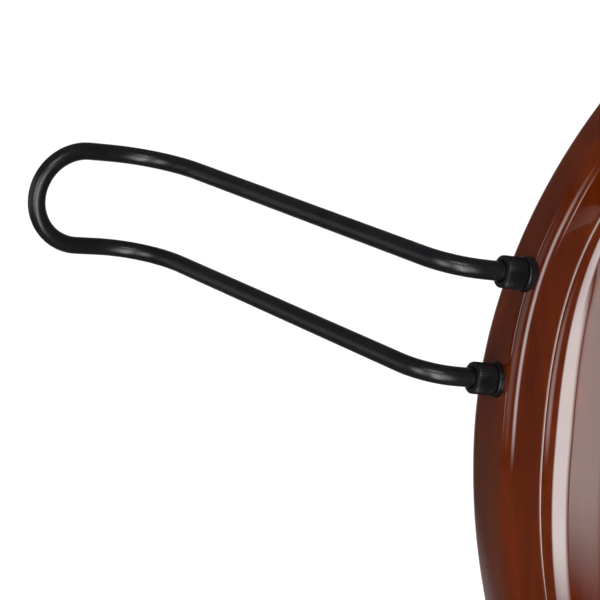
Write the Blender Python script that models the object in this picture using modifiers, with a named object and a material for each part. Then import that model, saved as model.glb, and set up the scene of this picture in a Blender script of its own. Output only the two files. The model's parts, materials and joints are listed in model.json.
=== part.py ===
"""Electric upright bass with a bent-rod body rest, modelled as separate pieces.

Metres, +Z up along the neck, +X to the right and the front of the instrument facing -Y.
The origin is the floor point under the endpin's tip. A body rest, bent from one steel rod, plugs
into two sockets in the left side of the upper bout, and two knurled lock nuts clamp its legs.
"""

import math

import bmesh
import bpy
from mathutils import Matrix, Vector
from mathutils.geometry import interpolate_bezier

MM = 0.001

# ---- Clearances -------------------------------------------------------------------------------
GAP = 0.3 * MM            # between two pieces that rest on each other
RUNNING = 0.3 * MM        # radial, round a piece that turns or slides
CUT = 5 * MM              # how far a cutter runs past the wall that it opens

# ---- Body: outline, seen from the front -------------------------------------------------------
ENDPIN_OUT = 150 * MM     # floor to the bottom of the body
BODY_LENGTH = 890 * MM
UPPER_HALF = 115 * MM     # half width at the widest point of the upper bout
BOUT_RADIUS = 275 * MM    # radius of the upper bout's side
NECK_END_HALF = 30 * MM   # half of the straight edge at the neck end
NECK_CORNER = 16 * MM     # radius of the corners at the neck end
WAIST_HALF = 86 * MM
WAIST_UP = 480 * MM       # waist's height above the bottom of the body
LOWER_HALF = 130 * MM
LOWER_UP = 210 * MM       # height of the lower bout's widest point above the bottom
BOTTOM_FLAT = 75 * MM     # handle length that rounds the bottom
INTO_SHARE = 0.38         # handle into the waist and lower bout, as a share of the rise between them
BOUT_FULLNESS = 1.3       # fullness of the side below the upper bout; 1 keeps the bout's own curvature

# ---- Body: section from back to front ---------------------------------------------------------
BODY_DEPTH = 44 * MM      # back face to front edge plane
FRONT_TAPER = 12 * MM     # the front comes back by this much towards the neck end
TAPER_RUN = 115 * MM      # height over which it does
BACK_EDGE = 7 * MM        # radius of the back edge
FRONT_EDGE = 10 * MM      # radius of the front edge
VALLEY_WIDTH = 16 * MM    # hollow that runs round the front inside the edge
VALLEY_DEPTH = 1.6 * MM
ARCH_RUN = 62 * MM        # how far in from the valley the arching is full height
ARCH_HEIGHT = 15 * MM
OUTLINE_POINTS = 34       # along one half of the outline

# ---- Neck, fingerboard and strings ------------------------------------------------------------
STRING_LENGTH = 1060 * MM
BRIDGE_UP = 290 * MM      # bridge above the bottom of the body
BRIDGE_HEIGHT = 76 * MM   # arched front to the top of the bridge at the centre line
STRING_Y_NUT = -50 * MM   # strings' depth at the nut, on the centre line
NUT_SPACING = 10 * MM
POST_SPACING = 5 * MM     # strings' spacing across the string posts
BRIDGE_SPACING = 27 * MM
BRIDGE_CROWN = 92 * MM    # radius of the bridge's top edge
STRING_RADII = {"e": 1.3 * MM, "a": 1.05 * MM, "d": 0.8 * MM, "g": 0.6 * MM}
BOARD_LENGTH = 800 * MM
BOARD_EDGE = 9 * MM       # fingerboard's thickness at its edges
BOARD_NUT_HALF = 21 * MM
BOARD_END_HALF = 46 * MM
BOARD_CROWN = 80 * MM     # radius of the fingerboard's playing surface
BOARD_DROP_NUT = 1.2 * MM   # strings above the board at the nut
BOARD_DROP_END = 7 * MM     # strings above the board at its free end
NECK_NUT_DEEP = 24 * MM
NECK_HEEL_DEEP = 31 * MM
HEEL_HALF = 27 * MM
HEEL_LENGTH = 72 * MM     # the part of the heel that lies on the body
HEEL_SINK = 3 * MM        # depth of the heel's pocket below the front edge plane
HEEL_LAP = 2 * MM         # the heel's height above the body, where the shaft starts
TOP_NUT_LONG = 8 * MM
NECK_PAST_NUT = 12 * MM   # the neck's shaft runs on under the top nut into the head
TOP_NUT_PROUD = 1.5 * MM

# ---- Head -------------------------------------------------------------------------------------
HEAD_HALF = 23 * MM
CHANNEL_HALF = 14 * MM
HEAD_LENGTH = 158 * MM    # nut to the scroll's underside
HEAD_BACK_WALL = 9 * MM
HEAD_FRONT_STEP = 1.5 * MM   # the pegbox's front edge behind the neck's face
SCROLL_RADIUS = 34 * MM
SCROLL_HALF_WIDTHS = (24 * MM, 29 * MM, 34 * MM)    # first turn, second turn and eye
SCROLL_RADII = (SCROLL_RADIUS, 22 * MM, 10 * MM)
CHANNEL_START = 14 * MM   # nut to the lower end of the string channel
CHANNEL_PAST_POST = 16 * MM
CHANNEL_BEHIND_POST = 12 * MM
POST_RADIUS = 5 * MM
POST_PROUD = 1 * MM       # post's plain end past the far cheek
FIRST_POST_UP = 42 * MM   # nut to the first string post
POST_PITCH = 29 * MM
POST_BEHIND = 34 * MM     # string posts' axes behind the nut's string plane

# ---- Tuning machine ---------------------------------------------------------------------------
PLATE_THICK = 2 * MM
PLATE_DEEP = 34 * MM
PLATE_ABOVE = 13 * MM
PLATE_TO_POST = 3 * MM    # plate's lower edge to the next post, which comes through from the other side
PLATE_BELOW = POST_PITCH - POST_RADIUS - PLATE_TO_POST
GEAR_TEETH = 14
GEAR_RADIUS = 9.5 * MM
GEAR_TOOTH = 1.6 * MM
GEAR_THICK = 5 * MM
WORM_RADIUS = 4 * MM
WORM_ROOT = 3 * MM
WORM_LENGTH = 12 * MM
WORM_THREADS = 3
WORM_CLEARANCE = 0.4 * MM    # between the worm's crest and the gear's tips
EAR_THICK = 3.4 * MM      # ears that carry the worm's shaft
EAR_HALF = 4 * MM
EAR_CLEARANCE = 0.6 * MM
EAR_ROOT = 0.8 * MM       # ear's overlap into the plate
KEY_SHAFT = 2.5 * MM
KEY_REACH = 34 * MM       # plate's back edge to the key's paddle
KEY_WIDE = 26 * MM
KEY_LONG = 22 * MM
KEY_THICK = 6 * MM
KEY_IN_PADDLE = 2 * MM    # shaft's end inside the paddle
KEY_TAPER_RUN = 4 * MM    # shaft's taper starts this far from the plate's edge
KEY_FLARE = 1 * MM        # shaft's growth towards the paddle

# ---- Body rest --------------------------------------------------------------------------------
REST_PLACE = math.radians(14)    # the sockets' middle on the upper bout's arc, above its widest point
REST_TILT = math.radians(11.5)   # how far the legs point above level
ROD_RADIUS = 5 * MM
LEG_SPACING = 56 * MM
LEG_STUB = 9 * MM         # straight leg outside the lock nut
FIRST_BEND = math.radians(63)
FIRST_RADIUS = 28.5 * MM
LEG_STRAIGHT = 170 * MM
SECOND_BEND = math.radians(76)
SECOND_RADIUS = 41.5 * MM
LOOP_STUB = 13 * MM
LEG_IN_SOCKET = 28 * MM   # leg inside the body, below its surface
NUT_LENGTH = 11.5 * MM
NUT_RADIUS = 8.2 * MM
NUT_LIP = 2 * MM
NUT_CHAMFER = 0.8 * MM
FLANGE_RADIUS = 8.8 * MM
FLANGE_THICK = 4 * MM
FLANGE_SUNK = 1.4 * MM
NECK_WALL = 1.0 * MM      # wall of the socket's threaded neck
SOCKET_WALL = 2.0 * MM    # wall of the socket's barrel in the body
COLLET_LENGTH = 3 * MM
ROD_END_RELIEF = 2 * MM   # free depth past the leg's end in the socket's bore

# ---- Endpin -----------------------------------------------------------------------------------
PIN_RADIUS = 5 * MM
PIN_INSIDE = 180 * MM     # pin above the bottom of the body, as set
PIN_RETRACT = 100 * MM    # how much further the pin goes in
PIN_BORE_RELIEF = 8 * MM
COLLAR_RADIUS = 15 * MM
COLLAR_THICK = 15 * MM
COLLAR_CHAMFER = 2 * MM
COLLAR_PLUG_RADIUS = 11 * MM
COLLAR_PLUG_LONG = 45 * MM
TIP_RADIUS = 12 * MM
TIP_FOOT = 9 * MM
TIP_HEIGHT = 30 * MM
TIP_FLOOR = 8 * MM        # rubber under the rod
TIP_WALL = 2 * MM         # rubber round the rod at the top
THUMB_RADIUS = 7 * MM
THUMB_LONG = 9 * MM
THUMB_STEM = 2.5 * MM
THUMB_GAP = 3 * MM        # between the collar and the thumbscrew's head

# ---- Bridge, tailpiece and saddle -------------------------------------------------------------
BRIDGE_THICK = 11 * MM
BRIDGE_FOOT_IN = 22 * MM
BRIDGE_FOOT_OUT = 50 * MM
BRIDGE_TOP_HALF = 48 * MM
BRIDGE_WAIST_HALF = 30 * MM
BRIDGE_ARCH_HALF = 20 * MM
BRIDGE_ARCH_HIGH = 26 * MM
FOOT_HIGH = 9 * MM
NOTCH_DEEP = 0.8 * MM
PIEZO_RADIUS = 7 * MM
PIEZO_THICK = 2.5 * MM
PIEZO_HALF = 24 * MM
PIEZO_BELOW_CROWN = 26 * MM
LEAD_RADIUS = 1.1 * MM
LEAD_BELOW_BRIDGE = 26 * MM
LEAD_IN_BODY = 12 * MM
GROMMET_RADIUS = 4 * MM
GROMMET_NECK = 2.5 * MM
GROMMET_TOP = 2 * MM
GROMMET_SEAT = 0.9 * MM   # the flange stands on the arching's high side
GROMMET_LOW = -6 * MM
TAIL_TOP_UP = 195 * MM    # tailpiece's upper end above the bottom of the body
TAIL_LENGTH = 140 * MM
TAIL_TOP_HALF = 38 * MM
TAIL_BOTTOM_HALF = 19 * MM
TAIL_THICK = 10 * MM
TAIL_END_BULGE = 9 * MM   # rounding of both ends
TAIL_EDGE = 2 * MM
TAIL_SPACING = 17 * MM    # strings' spacing in the tailpiece
TAIL_STRING_IN = 8 * MM   # strings' ends below the tailpiece's shoulder
WIRE_IN_TAIL = 8 * MM     # wire's ends above the tailpiece's lower tip
TAIL_LIFT_TOP = 34 * MM   # tailpiece's middle above the front edge plane, upper end
TAIL_LIFT_BOTTOM = 18 * MM
WIRE_RADIUS = 1.25 * MM
WIRE_HALF = 12 * MM
SADDLE_HALF = 26 * MM
SADDLE_UP = 8 * MM        # saddle's lower face above the bottom of the body
SADDLE_LONG = 9 * MM
SADDLE_PROUD = 5 * MM
SADDLE_SINK = 3 * MM
SADDLE_EDGE = 1 * MM

# ---- Electronics ------------------------------------------------------------------------------
CAVITY_X = (58 * MM, 112 * MM)
CAVITY_UP = (150 * MM, 262 * MM)     # above the bottom of the body
CAVITY_DEEP = 30 * MM
COVER_THICK = 2.5 * MM
COVER_RIM = 7 * MM        # cover past the cavity, above and below
COVER_SIDE_RIM = 3 * MM   # and at the sides, where the body's edge is close
COVER_CORNER = 8 * MM
POT_UP = {"volume": 238 * MM, "tone": 204 * MM}
JACK_UP = 170 * MM
CONTROL_BEHIND = 2 * MM   # controls' axes behind the body's middle plane
POT_RADIUS = 8 * MM
POT_DEEP = 9 * MM
POT_BUSH = 3.5 * MM
POT_SHAFT = 3 * MM
KNOB_RADIUS = 9.5 * MM
KNOB_HIGH = 15 * MM
KNOB_STANDOFF = 1.2 * MM
KNOB_TAPER = 0.8 * MM
KNOB_CHAMFER = 1.2 * MM
JACK_RADIUS = 9 * MM
JACK_FLANGE = 11 * MM
JACK_FLANGE_THICK = 2.2 * MM
JACK_BARREL = 6.5 * MM
JACK_BORE = 3.3 * MM
JACK_INSIDE = 15 * MM     # jack's barrel inside the cavity
JACK_SEAT = 1.6 * MM      # flat seat sunk into the curved side
BOARD_SIZE = (34 * MM, 1.6 * MM, 60 * MM)    # preamp board: x, y, z
BOARD_INSET = 2 * MM      # board to the cavity's wall
CHIP_SIZE = (12 * MM, 4 * MM, 18 * MM)
CHIP_LAP = 0.5 * MM       # chip and standoffs sunk into the board
STANDOFF_RADIUS = 2 * MM
STANDOFF_HIGH = 2 * MM
STANDOFF_INSET = 6 * MM
BATTERY_SIZE = (26.5 * MM, 17.5 * MM, 48.5 * MM)
BATTERY_X = -78 * MM
BATTERY_UP = 215 * MM     # battery's middle above the bottom of the body
BATTERY_ROOM = 1.5 * MM
BATTERY_EDGE = 1.5 * MM
DOOR_THICK = 2.5 * MM
DOOR_EDGE = 2.5 * MM      # door's overlap past the battery well on each side
DOOR_GAP = 0.4 * MM

# ---- Neck joint and small screws --------------------------------------------------------------
JOINT_PLATE = (46 * MM, 2.2 * MM, 54 * MM)
BOLT_RADIUS = 2.4 * MM
BOLT_HEAD = 4.4 * MM
BOLT_HEAD_THICK = 2.4 * MM
BOLT_INSET = 8 * MM
BOLT_BITE = 16 * MM       # thread in the heel
SCREW_RADIUS = 1.4 * MM
SCREW_HEAD = 2.8 * MM
SCREW_HEAD_THICK = 1.2 * MM
SCREW_LONG = 10 * MM

# ---- Places worked out from the sizes above ---------------------------------------------------
Z_BOTTOM = ENDPIN_OUT
Z_TOP = ENDPIN_OUT + BODY_LENGTH
Z_BRIDGE = Z_BOTTOM + BRIDGE_UP
Z_NUT = Z_BRIDGE + STRING_LENGTH
Y_FRONT = -BODY_DEPTH / 2
Y_BACK = BODY_DEPTH / 2
CORNER_TO_BOUT = BOUT_RADIUS - NECK_CORNER
BOUT_X = UPPER_HALF - BOUT_RADIUS
Z_UPPER = Z_TOP - NECK_CORNER - math.sqrt(CORNER_TO_BOUT ** 2 - (NECK_END_HALF - BOUT_X) ** 2)
Z_WAIST = Z_BOTTOM + WAIST_UP
Z_LOWER = Z_BOTTOM + LOWER_UP
Y_HEEL = Y_FRONT + FRONT_TAPER + HEEL_SINK      # floor of the heel's pocket
STRING_NAMES = ("e", "a", "d", "g")
STRING_PLACES = (-1.5, -0.5, 0.5, 1.5)
# Post order up the head, with the side that the machine sits on: -1 left, +1 right.
MACHINES = (("e", 0, -1), ("g", 1, 1), ("a", 2, -1), ("d", 3, 1))

COLORS = {
    "lacquered_maple": ((0.20, 0.055, 0.018), 0.12, 0.0),
    "ebony": ((0.02, 0.018, 0.016), 0.35, 0.0),
    "bridge_maple": ((0.62, 0.43, 0.24), 0.5, 0.0),
    "black_steel": ((0.025, 0.026, 0.03), 0.3, 0.6),
    "black_plastic": ((0.02, 0.02, 0.02), 0.45, 0.0),
    "rubber": ((0.018, 0.018, 0.018), 0.85, 0.0),
    "steel": ((0.62, 0.62, 0.63), 0.25, 1.0),
    "nylon": ((0.75, 0.73, 0.68), 0.5, 0.0),
    "board_green": ((0.03, 0.16, 0.07), 0.45, 0.0),
    "battery_shell": ((0.12, 0.13, 0.15), 0.35, 0.4),
}


# ==== Blender helpers ==========================================================================

def clear_scene():
    for old in list(bpy.data.objects):
        bpy.data.objects.remove(old, do_unlink=True)


def make_collection(name):
    made = bpy.data.collections.new(name)
    bpy.context.scene.collection.children.link(made)
    return made


def make_material(name):
    color, roughness, metallic = COLORS[name]
    made = bpy.data.materials.new(name)
    made.use_nodes = True
    shader = made.node_tree.nodes["Principled BSDF"]
    shader.inputs["Base Color"].default_value = (*color, 1)
    shader.inputs["Roughness"].default_value = roughness
    shader.inputs["Metallic"].default_value = metallic
    return made


clear_scene()
PARTS = make_collection("electric_upright_bass")
CUTTERS = make_collection("cutters")
MATERIALS = {name: make_material(name) for name in COLORS}


def place(name, data, material=None, at=(0, 0, 0), parent=None):
    """A new object of the instrument, or a cutter when it has no material."""
    made = bpy.data.objects.new(name, data)
    (PARTS if material else CUTTERS).objects.link(made)
    made.location = at
    if parent:
        made.parent = parent
    if material:
        data.materials.append(MATERIALS[material])
    else:
        made.hide_render = True
        made.display_type = "WIRE"
    return made


def empty_at(name, matrix):
    made = bpy.data.objects.new(name, None)
    PARTS.objects.link(made)
    made.matrix_world = matrix
    return made


def facing(origin, outward, up):
    """Matrix with +Z along outward, +Y as near to up as it can be, and its origin there."""
    z = Vector(outward).normalized()
    x = Vector(up).cross(z).normalized()
    y = z.cross(x)
    return Matrix.Translation(origin) @ Matrix((x, y, z)).transposed().to_4x4()


def set_smooth(mesh, angle=35):
    mesh.shade_smooth()
    mesh.set_sharp_from_angle(angle=math.radians(angle))


def mesh_from(bm, name):
    bmesh.ops.recalc_face_normals(bm, faces=bm.faces)
    mesh = bpy.data.meshes.new(name)
    bm.to_mesh(mesh)
    bm.free()
    set_smooth(mesh)
    return mesh


def cylinder(name, radius, low, high, material=None, sides=20, parent=None, top_radius=None):
    """A cylinder or cone between two points."""
    low, high = Vector(low), Vector(high)
    along = high - low
    bm = bmesh.new()
    bmesh.ops.create_cone(bm, cap_ends=True, segments=sides, radius1=radius,
                          radius2=radius if top_radius is None else top_radius, depth=along.length)
    made = place(name, mesh_from(bm, name), material, (low + high) / 2, parent)
    made.rotation_mode = "QUATERNION"
    made.rotation_quaternion = along.to_track_quat("Z", "Y")
    return made


def box(name, low, high, material=None, bevel=0.0, parent=None, segments=2):
    low, high = Vector(low), Vector(high)
    bm = bmesh.new()
    bmesh.ops.create_cube(bm, size=1)
    bmesh.ops.scale(bm, vec=high - low, verts=bm.verts)
    made = place(name, mesh_from(bm, name), material, (low + high) / 2, parent)
    if bevel:
        add_bevel(made, bevel, segments)
    return made


def add_bevel(target, width, segments=2, angle=40):
    modifier = target.modifiers.new("rounded_edges", "BEVEL")
    modifier.width = width
    modifier.segments = segments
    modifier.limit_method = "ANGLE"
    modifier.angle_limit = math.radians(angle)
    return modifier


def turned(name, profile, material, steps=24, at=(0, 0, 0), parent=None, closed=True):
    """A turned piece: profile is (radius, height) down its outer side, then up its bore."""
    mesh = bpy.data.meshes.new(name)
    edges = [(i, i + 1) for i in range(len(profile) - 1)]
    if closed:
        edges.append((len(profile) - 1, 0))
    mesh.from_pydata([(radius, 0, height) for radius, height in profile], edges, [])
    made = place(name, mesh, material, at, parent)
    screw = made.modifiers.new("turned", "SCREW")
    screw.steps = screw.render_steps = steps
    screw.use_merge_vertices = True
    screw.merge_threshold = 0.00001
    screw.use_smooth_shade = False
    return made


def rod(name, points, radius, material, resolution=2, parent=None, at=(0, 0, 0)):
    """A round rod or wire along points, with filled ends."""
    curve = bpy.data.curves.new(name, "CURVE")
    curve.dimensions = "3D"
    curve.bevel_depth = radius
    curve.bevel_resolution = resolution
    curve.use_fill_caps = True
    spline = curve.splines.new("POLY")
    spline.points.add(len(points) - 1)
    for spot, co in zip(spline.points, points):
        spot.co = (*co, 1)
    return place(name, curve, material, at, parent)


def plate(name, outlines, thick, material, matrix, parent=None):
    """A flat plate: outlines are closed loops in its own XY plane, the first outside, the rest holes."""
    curve = bpy.data.curves.new(name, "CURVE")
    curve.dimensions = "2D"
    curve.fill_mode = "BOTH"
    curve.extrude = thick / 2
    for loop in outlines:
        spline = curve.splines.new("POLY")
        spline.points.add(len(loop) - 1)
        for spot, (x, y) in zip(spline.points, loop):
            spot.co = (x, y, 0, 1)
        spline.use_cyclic_u = True
    made = place(name, curve, material, parent=parent)
    made.matrix_local = matrix
    return made


def as_mesh(curve_object):
    """The curve object rebuilt as a welded mesh, which can take or be a Boolean."""
    bpy.context.view_layer.update()
    graph = bpy.context.evaluated_depsgraph_get()
    mesh = bpy.data.meshes.new_from_object(curve_object.evaluated_get(graph))
    bm = bmesh.new()
    bm.from_mesh(mesh)
    bmesh.ops.remove_doubles(bm, verts=bm.verts, dist=0.000001)
    bm.to_mesh(mesh)
    bm.free()
    name, world = curve_object.name, curve_object.matrix_world.copy()
    collection = curve_object.users_collection[0]
    hidden, display = curve_object.hide_render, curve_object.display_type
    bpy.data.objects.remove(curve_object, do_unlink=True)
    made = bpy.data.objects.new(name, mesh)
    collection.objects.link(made)
    made.matrix_world = world
    made.hide_render, made.display_type = hidden, display
    set_smooth(mesh)
    return made


def boolean(target, other, operation="DIFFERENCE"):
    modifier = target.modifiers.new(other.name, "BOOLEAN")
    modifier.operation = operation
    modifier.object = other
    return modifier


def cut(target, *cutters):
    for cutter in cutters:
        boolean(target, cutter)


def join(target, *others):
    """Unions other solids into target; they stay as hidden helpers."""
    for other in others:
        boolean(target, other, "UNION")


def rounded_rectangle(half_x, half_y, radius, steps=4):
    loop = []
    for quarter, (sx, sy) in enumerate(((1, 1), (-1, 1), (-1, -1), (1, -1))):
        for step in range(steps + 1):
            angle = math.pi / 2 * (quarter + step / steps)
            loop.append((sx * (half_x - radius) + radius * math.cos(angle),
                         sy * (half_y - radius) + radius * math.sin(angle)))
    return loop


# ==== Body =====================================================================================

def arc(centre, radius, start, end, steps):
    """Points of an arc in (half width, height), angles from the widest side upwards."""
    turn = (end - start) / steps
    return [(centre[0] + radius * math.cos(start + turn * i),
             centre[1] + radius * math.sin(start + turn * i)) for i in range(steps + 1)]


def bezier(start, handle_out, handle_in, end, steps):
    points = [Vector((*p, 0)) for p in (start, handle_out, handle_in, end)]
    return [(p.x, p.y) for p in interpolate_bezier(*points, steps + 1)]


def body_half_outline():
    """Right half of the body's outline as (half width, height), from the neck end to the bottom."""
    corner = (NECK_END_HALF, Z_TOP - NECK_CORNER)
    bout = (BOUT_X, Z_UPPER)
    meet = math.atan2(corner[1] - bout[1], corner[0] - bout[0])
    drop_to_waist = UPPER_HALF - WAIST_HALF
    rise_to_lower = LOWER_HALF - WAIST_HALF
    # Handle lengths that keep the curvature nearly even across each join.
    out_of_bout = BOUT_FULLNESS * math.sqrt(2 / 3 * drop_to_waist * BOUT_RADIUS)
    into_waist = (Z_UPPER - Z_WAIST) * INTO_SHARE
    out_of_waist = into_waist * math.sqrt(rise_to_lower / drop_to_waist)
    into_lower = (Z_WAIST - Z_LOWER) * INTO_SHARE
    out_of_lower = into_lower * math.sqrt((LOWER_HALF - BOTTOM_FLAT) / rise_to_lower)
    points = [(0.0, Z_TOP)]
    points += arc(corner, NECK_CORNER, math.pi / 2, meet, 12)
    points += arc(bout, BOUT_RADIUS, meet, 0, 60)
    points += bezier((UPPER_HALF, Z_UPPER), (UPPER_HALF, Z_UPPER - out_of_bout),
                     (WAIST_HALF, Z_WAIST + into_waist), (WAIST_HALF, Z_WAIST), 50)
    points += bezier((WAIST_HALF, Z_WAIST), (WAIST_HALF, Z_WAIST - out_of_waist),
                     (LOWER_HALF, Z_LOWER + into_lower), (LOWER_HALF, Z_LOWER), 50)
    points += bezier((LOWER_HALF, Z_LOWER), (LOWER_HALF, Z_LOWER - out_of_lower),
                     (BOTTOM_FLAT, Z_BOTTOM), (0.0, Z_BOTTOM), 60)
    return points


def spaced(points, count):
    """Points resampled to count + 1 places at equal steps along the line."""
    lengths = [0.0]
    for a, b in zip(points, points[1:]):
        lengths.append(lengths[-1] + math.dist(a, b))
    made, index = [], 0
    for step in range(count + 1):
        target = lengths[-1] * step / count
        while index < len(points) - 2 and lengths[index + 1] < target:
            index += 1
        span = lengths[index + 1] - lengths[index]
        share = (target - lengths[index]) / span if span else 0.0
        (ax, az), (bx, bz) = points[index], points[index + 1]
        made.append((ax + (bx - ax) * share, az + (bz - az) * share))
    return made


HALF_OUTLINE = body_half_outline()


def half_width(z):
    """The body's half width at a height."""
    for (ax, az), (bx, bz) in zip(HALF_OUTLINE, HALF_OUTLINE[1:]):
        if bz <= z <= az and az > bz:
            return ax + (bx - ax) * (az - z) / (az - bz)
    return 0.0


def edge_distance(x, z):
    """Distance from a point of the front to the body's outline."""
    spot = Vector((abs(x), z))
    best = math.inf
    for a, b in zip(HALF_OUTLINE, HALF_OUTLINE[1:]):
        start, along = Vector(a), Vector(b) - Vector(a)
        if along.length_squared == 0:
            continue
        share = max(0.0, min(1.0, (spot - start).dot(along) / along.length_squared))
        best = min(best, (spot - start - along * share).length)
    return best


def front_y(distance):
    """Depth of the front at a distance in from the outline: edge radius, valley, then arching."""
    if distance < FRONT_EDGE:
        run = FRONT_EDGE - distance
        return Y_FRONT + FRONT_EDGE - math.sqrt(FRONT_EDGE ** 2 - run ** 2)
    in_valley = min(1.0, (distance - FRONT_EDGE) / VALLEY_WIDTH)
    dip = VALLEY_DEPTH * 0.5 * (1 - math.cos(2 * math.pi * in_valley))
    up = max(0.0, min(1.0, (distance - FRONT_EDGE - VALLEY_WIDTH / 2) / ARCH_RUN))
    rise = ARCH_HEIGHT * (1 - (1 - up) ** 2.6) * min(1.0, up / 0.12) ** 0.8
    return Y_FRONT + dip - rise


def front_taper(z):
    """How far the front has come back at a height, from the upper bout's widest point up."""
    share = max(0.0, min(1.0, (z - Z_UPPER) / TAPER_RUN))
    return FRONT_TAPER * share * share * (3 - 2 * share)


def front_surface(x, z):
    return front_y(edge_distance(x, z)) + front_taper(z)


def body_mesh():
    """The body as rings that follow the outline, from the flat back round to the arched front."""
    half = spaced(HALF_OUTLINE, OUTLINE_POINTS)
    loop = [Vector(p) for p in half] + [Vector((-x, z)) for x, z in reversed(half[1:-1])]
    count = len(loop)
    inward = []
    for i, spot in enumerate(loop):
        along = (loop[(i + 1) % count] - loop[i - 1]).normalized()
        inward.append(Vector((along.y, -along.x)))
    if (Vector((0, Z_WAIST)) - loop[count // 4]).dot(inward[count // 4]) < 0:
        inward = [-n for n in inward]
    spine_low, spine_high = Z_BOTTOM + LOWER_HALF, Z_TOP - NECK_END_HALF - NECK_CORNER
    rings = []
    for step in range(4):           # back edge, from the flat back to the side
        angle = math.pi / 2 * step / 3
        rings.append([(p + n * BACK_EDGE * (1 - math.sin(angle)),
                       Y_BACK - BACK_EDGE * (1 - math.cos(angle))) for p, n in zip(loop, inward)])
    for step in range(4):           # front edge, from the side to the front
        angle = math.pi / 2 * step / 3
        rings.append([(p + n * FRONT_EDGE * (1 - math.cos(angle)),
                       Y_FRONT + front_taper(p.y) + FRONT_EDGE * (1 - math.sin(angle)))
                      for p, n in zip(loop, inward)])
    for share in (0.07, 0.16, 0.3, 0.5, 0.72, 1.0):      # valley and arching, to the centre line
        ring = []
        for p, n in zip(loop, inward):
            edge = p + n * FRONT_EDGE
            spine = Vector((0, max(spine_low, min(spine_high, p.y))))
            spot = edge.lerp(spine, share)
            ring.append((spot, front_surface(spot.x, spot.y)))
        rings.append(ring)
    bm = bmesh.new()
    made = [[bm.verts.new((p.x, y, p.y)) for p, y in ring] for ring in rings]
    for lower, upper in zip(made, made[1:]):
        for i in range(count):
            j = (i + 1) % count
            bm.faces.new((lower[i], lower[j], upper[j], upper[i]))
    bm.faces.new(made[0])
    bmesh.ops.remove_doubles(bm, verts=bm.verts, dist=0.00001)
    return mesh_from(bm, "body")


# ==== Body rest: rod, sockets, collets and lock nuts ===========================================

LEG_OUT = Vector((-math.cos(REST_TILT), 0, math.sin(REST_TILT)))
REST_SEAT = (Vector((-BOUT_X, 0, Z_UPPER))
             + Vector((-math.cos(REST_PLACE), 0, math.sin(REST_PLACE))) * BOUT_RADIUS)


def leg_seat(side):
    """Where a leg's line meets the side's arc, along the leg from the seat's middle."""
    lean = REST_PLACE - REST_TILT
    across = side * LEG_SPACING / 2 + BOUT_RADIUS * math.sin(lean)
    return math.sqrt(BOUT_RADIUS ** 2 - across ** 2) - BOUT_RADIUS * math.cos(lean)


# Along a leg, out from where it enters the body's side:
FLANGE_OUT = FLANGE_THICK - FLANGE_SUNK
NUT_INNER = FLANGE_OUT + GAP
NUT_OUTER = NUT_INNER + NUT_LENGTH
NUT_PLANE = NUT_OUTER + (leg_seat(1) + leg_seat(-1)) / 2   # from the seat's middle
SOCKET_BORE = ROD_RADIUS + RUNNING
NECK_RADIUS = SOCKET_BORE + NECK_WALL
COLLET_INNER = NUT_OUTER - NUT_LIP - GAP - COLLET_LENGTH
BARREL_RADIUS = SOCKET_BORE + SOCKET_WALL
BARREL_END = -(LEG_IN_SOCKET + ROD_END_RELIEF)


def bend(points, heading, turn, radius, steps):
    """Adds an arc to a path of (out, back) points and returns the new heading."""
    side = 1 if turn > 0 else -1
    x, y = points[-1]
    for i in range(1, steps + 1):
        angle = heading + turn * i / steps
        points.append((x + radius * side * (math.sin(angle) - math.sin(heading)),
                       y - radius * side * (math.cos(angle) - math.cos(heading))))
    return heading + turn


def rest_profile(bend_steps):
    """One leg seen from above as (out, back), from its end in the socket to the loop."""
    points = [(-LEG_IN_SOCKET, 0.0), (NUT_PLANE + LEG_STUB, 0.0)]
    heading = bend(points, 0.0, FIRST_BEND, FIRST_RADIUS, bend_steps)
    x, y = points[-1]
    points.append((x + LEG_STRAIGHT * math.cos(heading), y + LEG_STRAIGHT * math.sin(heading)))
    heading = bend(points, heading, -SECOND_BEND, SECOND_RADIUS, bend_steps)
    x, y = points[-1]
    points.append((x + LOOP_STUB * math.cos(heading), y + LOOP_STUB * math.sin(heading)))
    return points, heading


def rest_path(bend_steps=7, loop_steps=14):
    """The rod's centre line in the seat's frame: +Z out along the legs, -X to the back, +Y up."""
    leg, heading = rest_profile(bend_steps)
    half = LEG_SPACING / 2
    path = [(-back, half, out) for out, back in leg]
    out, back = leg[-1]
    for i in range(1, loop_steps):
        angle = math.pi * i / loop_steps
        reach = half * math.sin(angle)
        path.append((-(back + reach * math.sin(heading)), half * math.cos(angle),
                     out + reach * math.cos(heading)))
    return path + [(-back, -half, out) for out, back in reversed(leg)]


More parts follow.
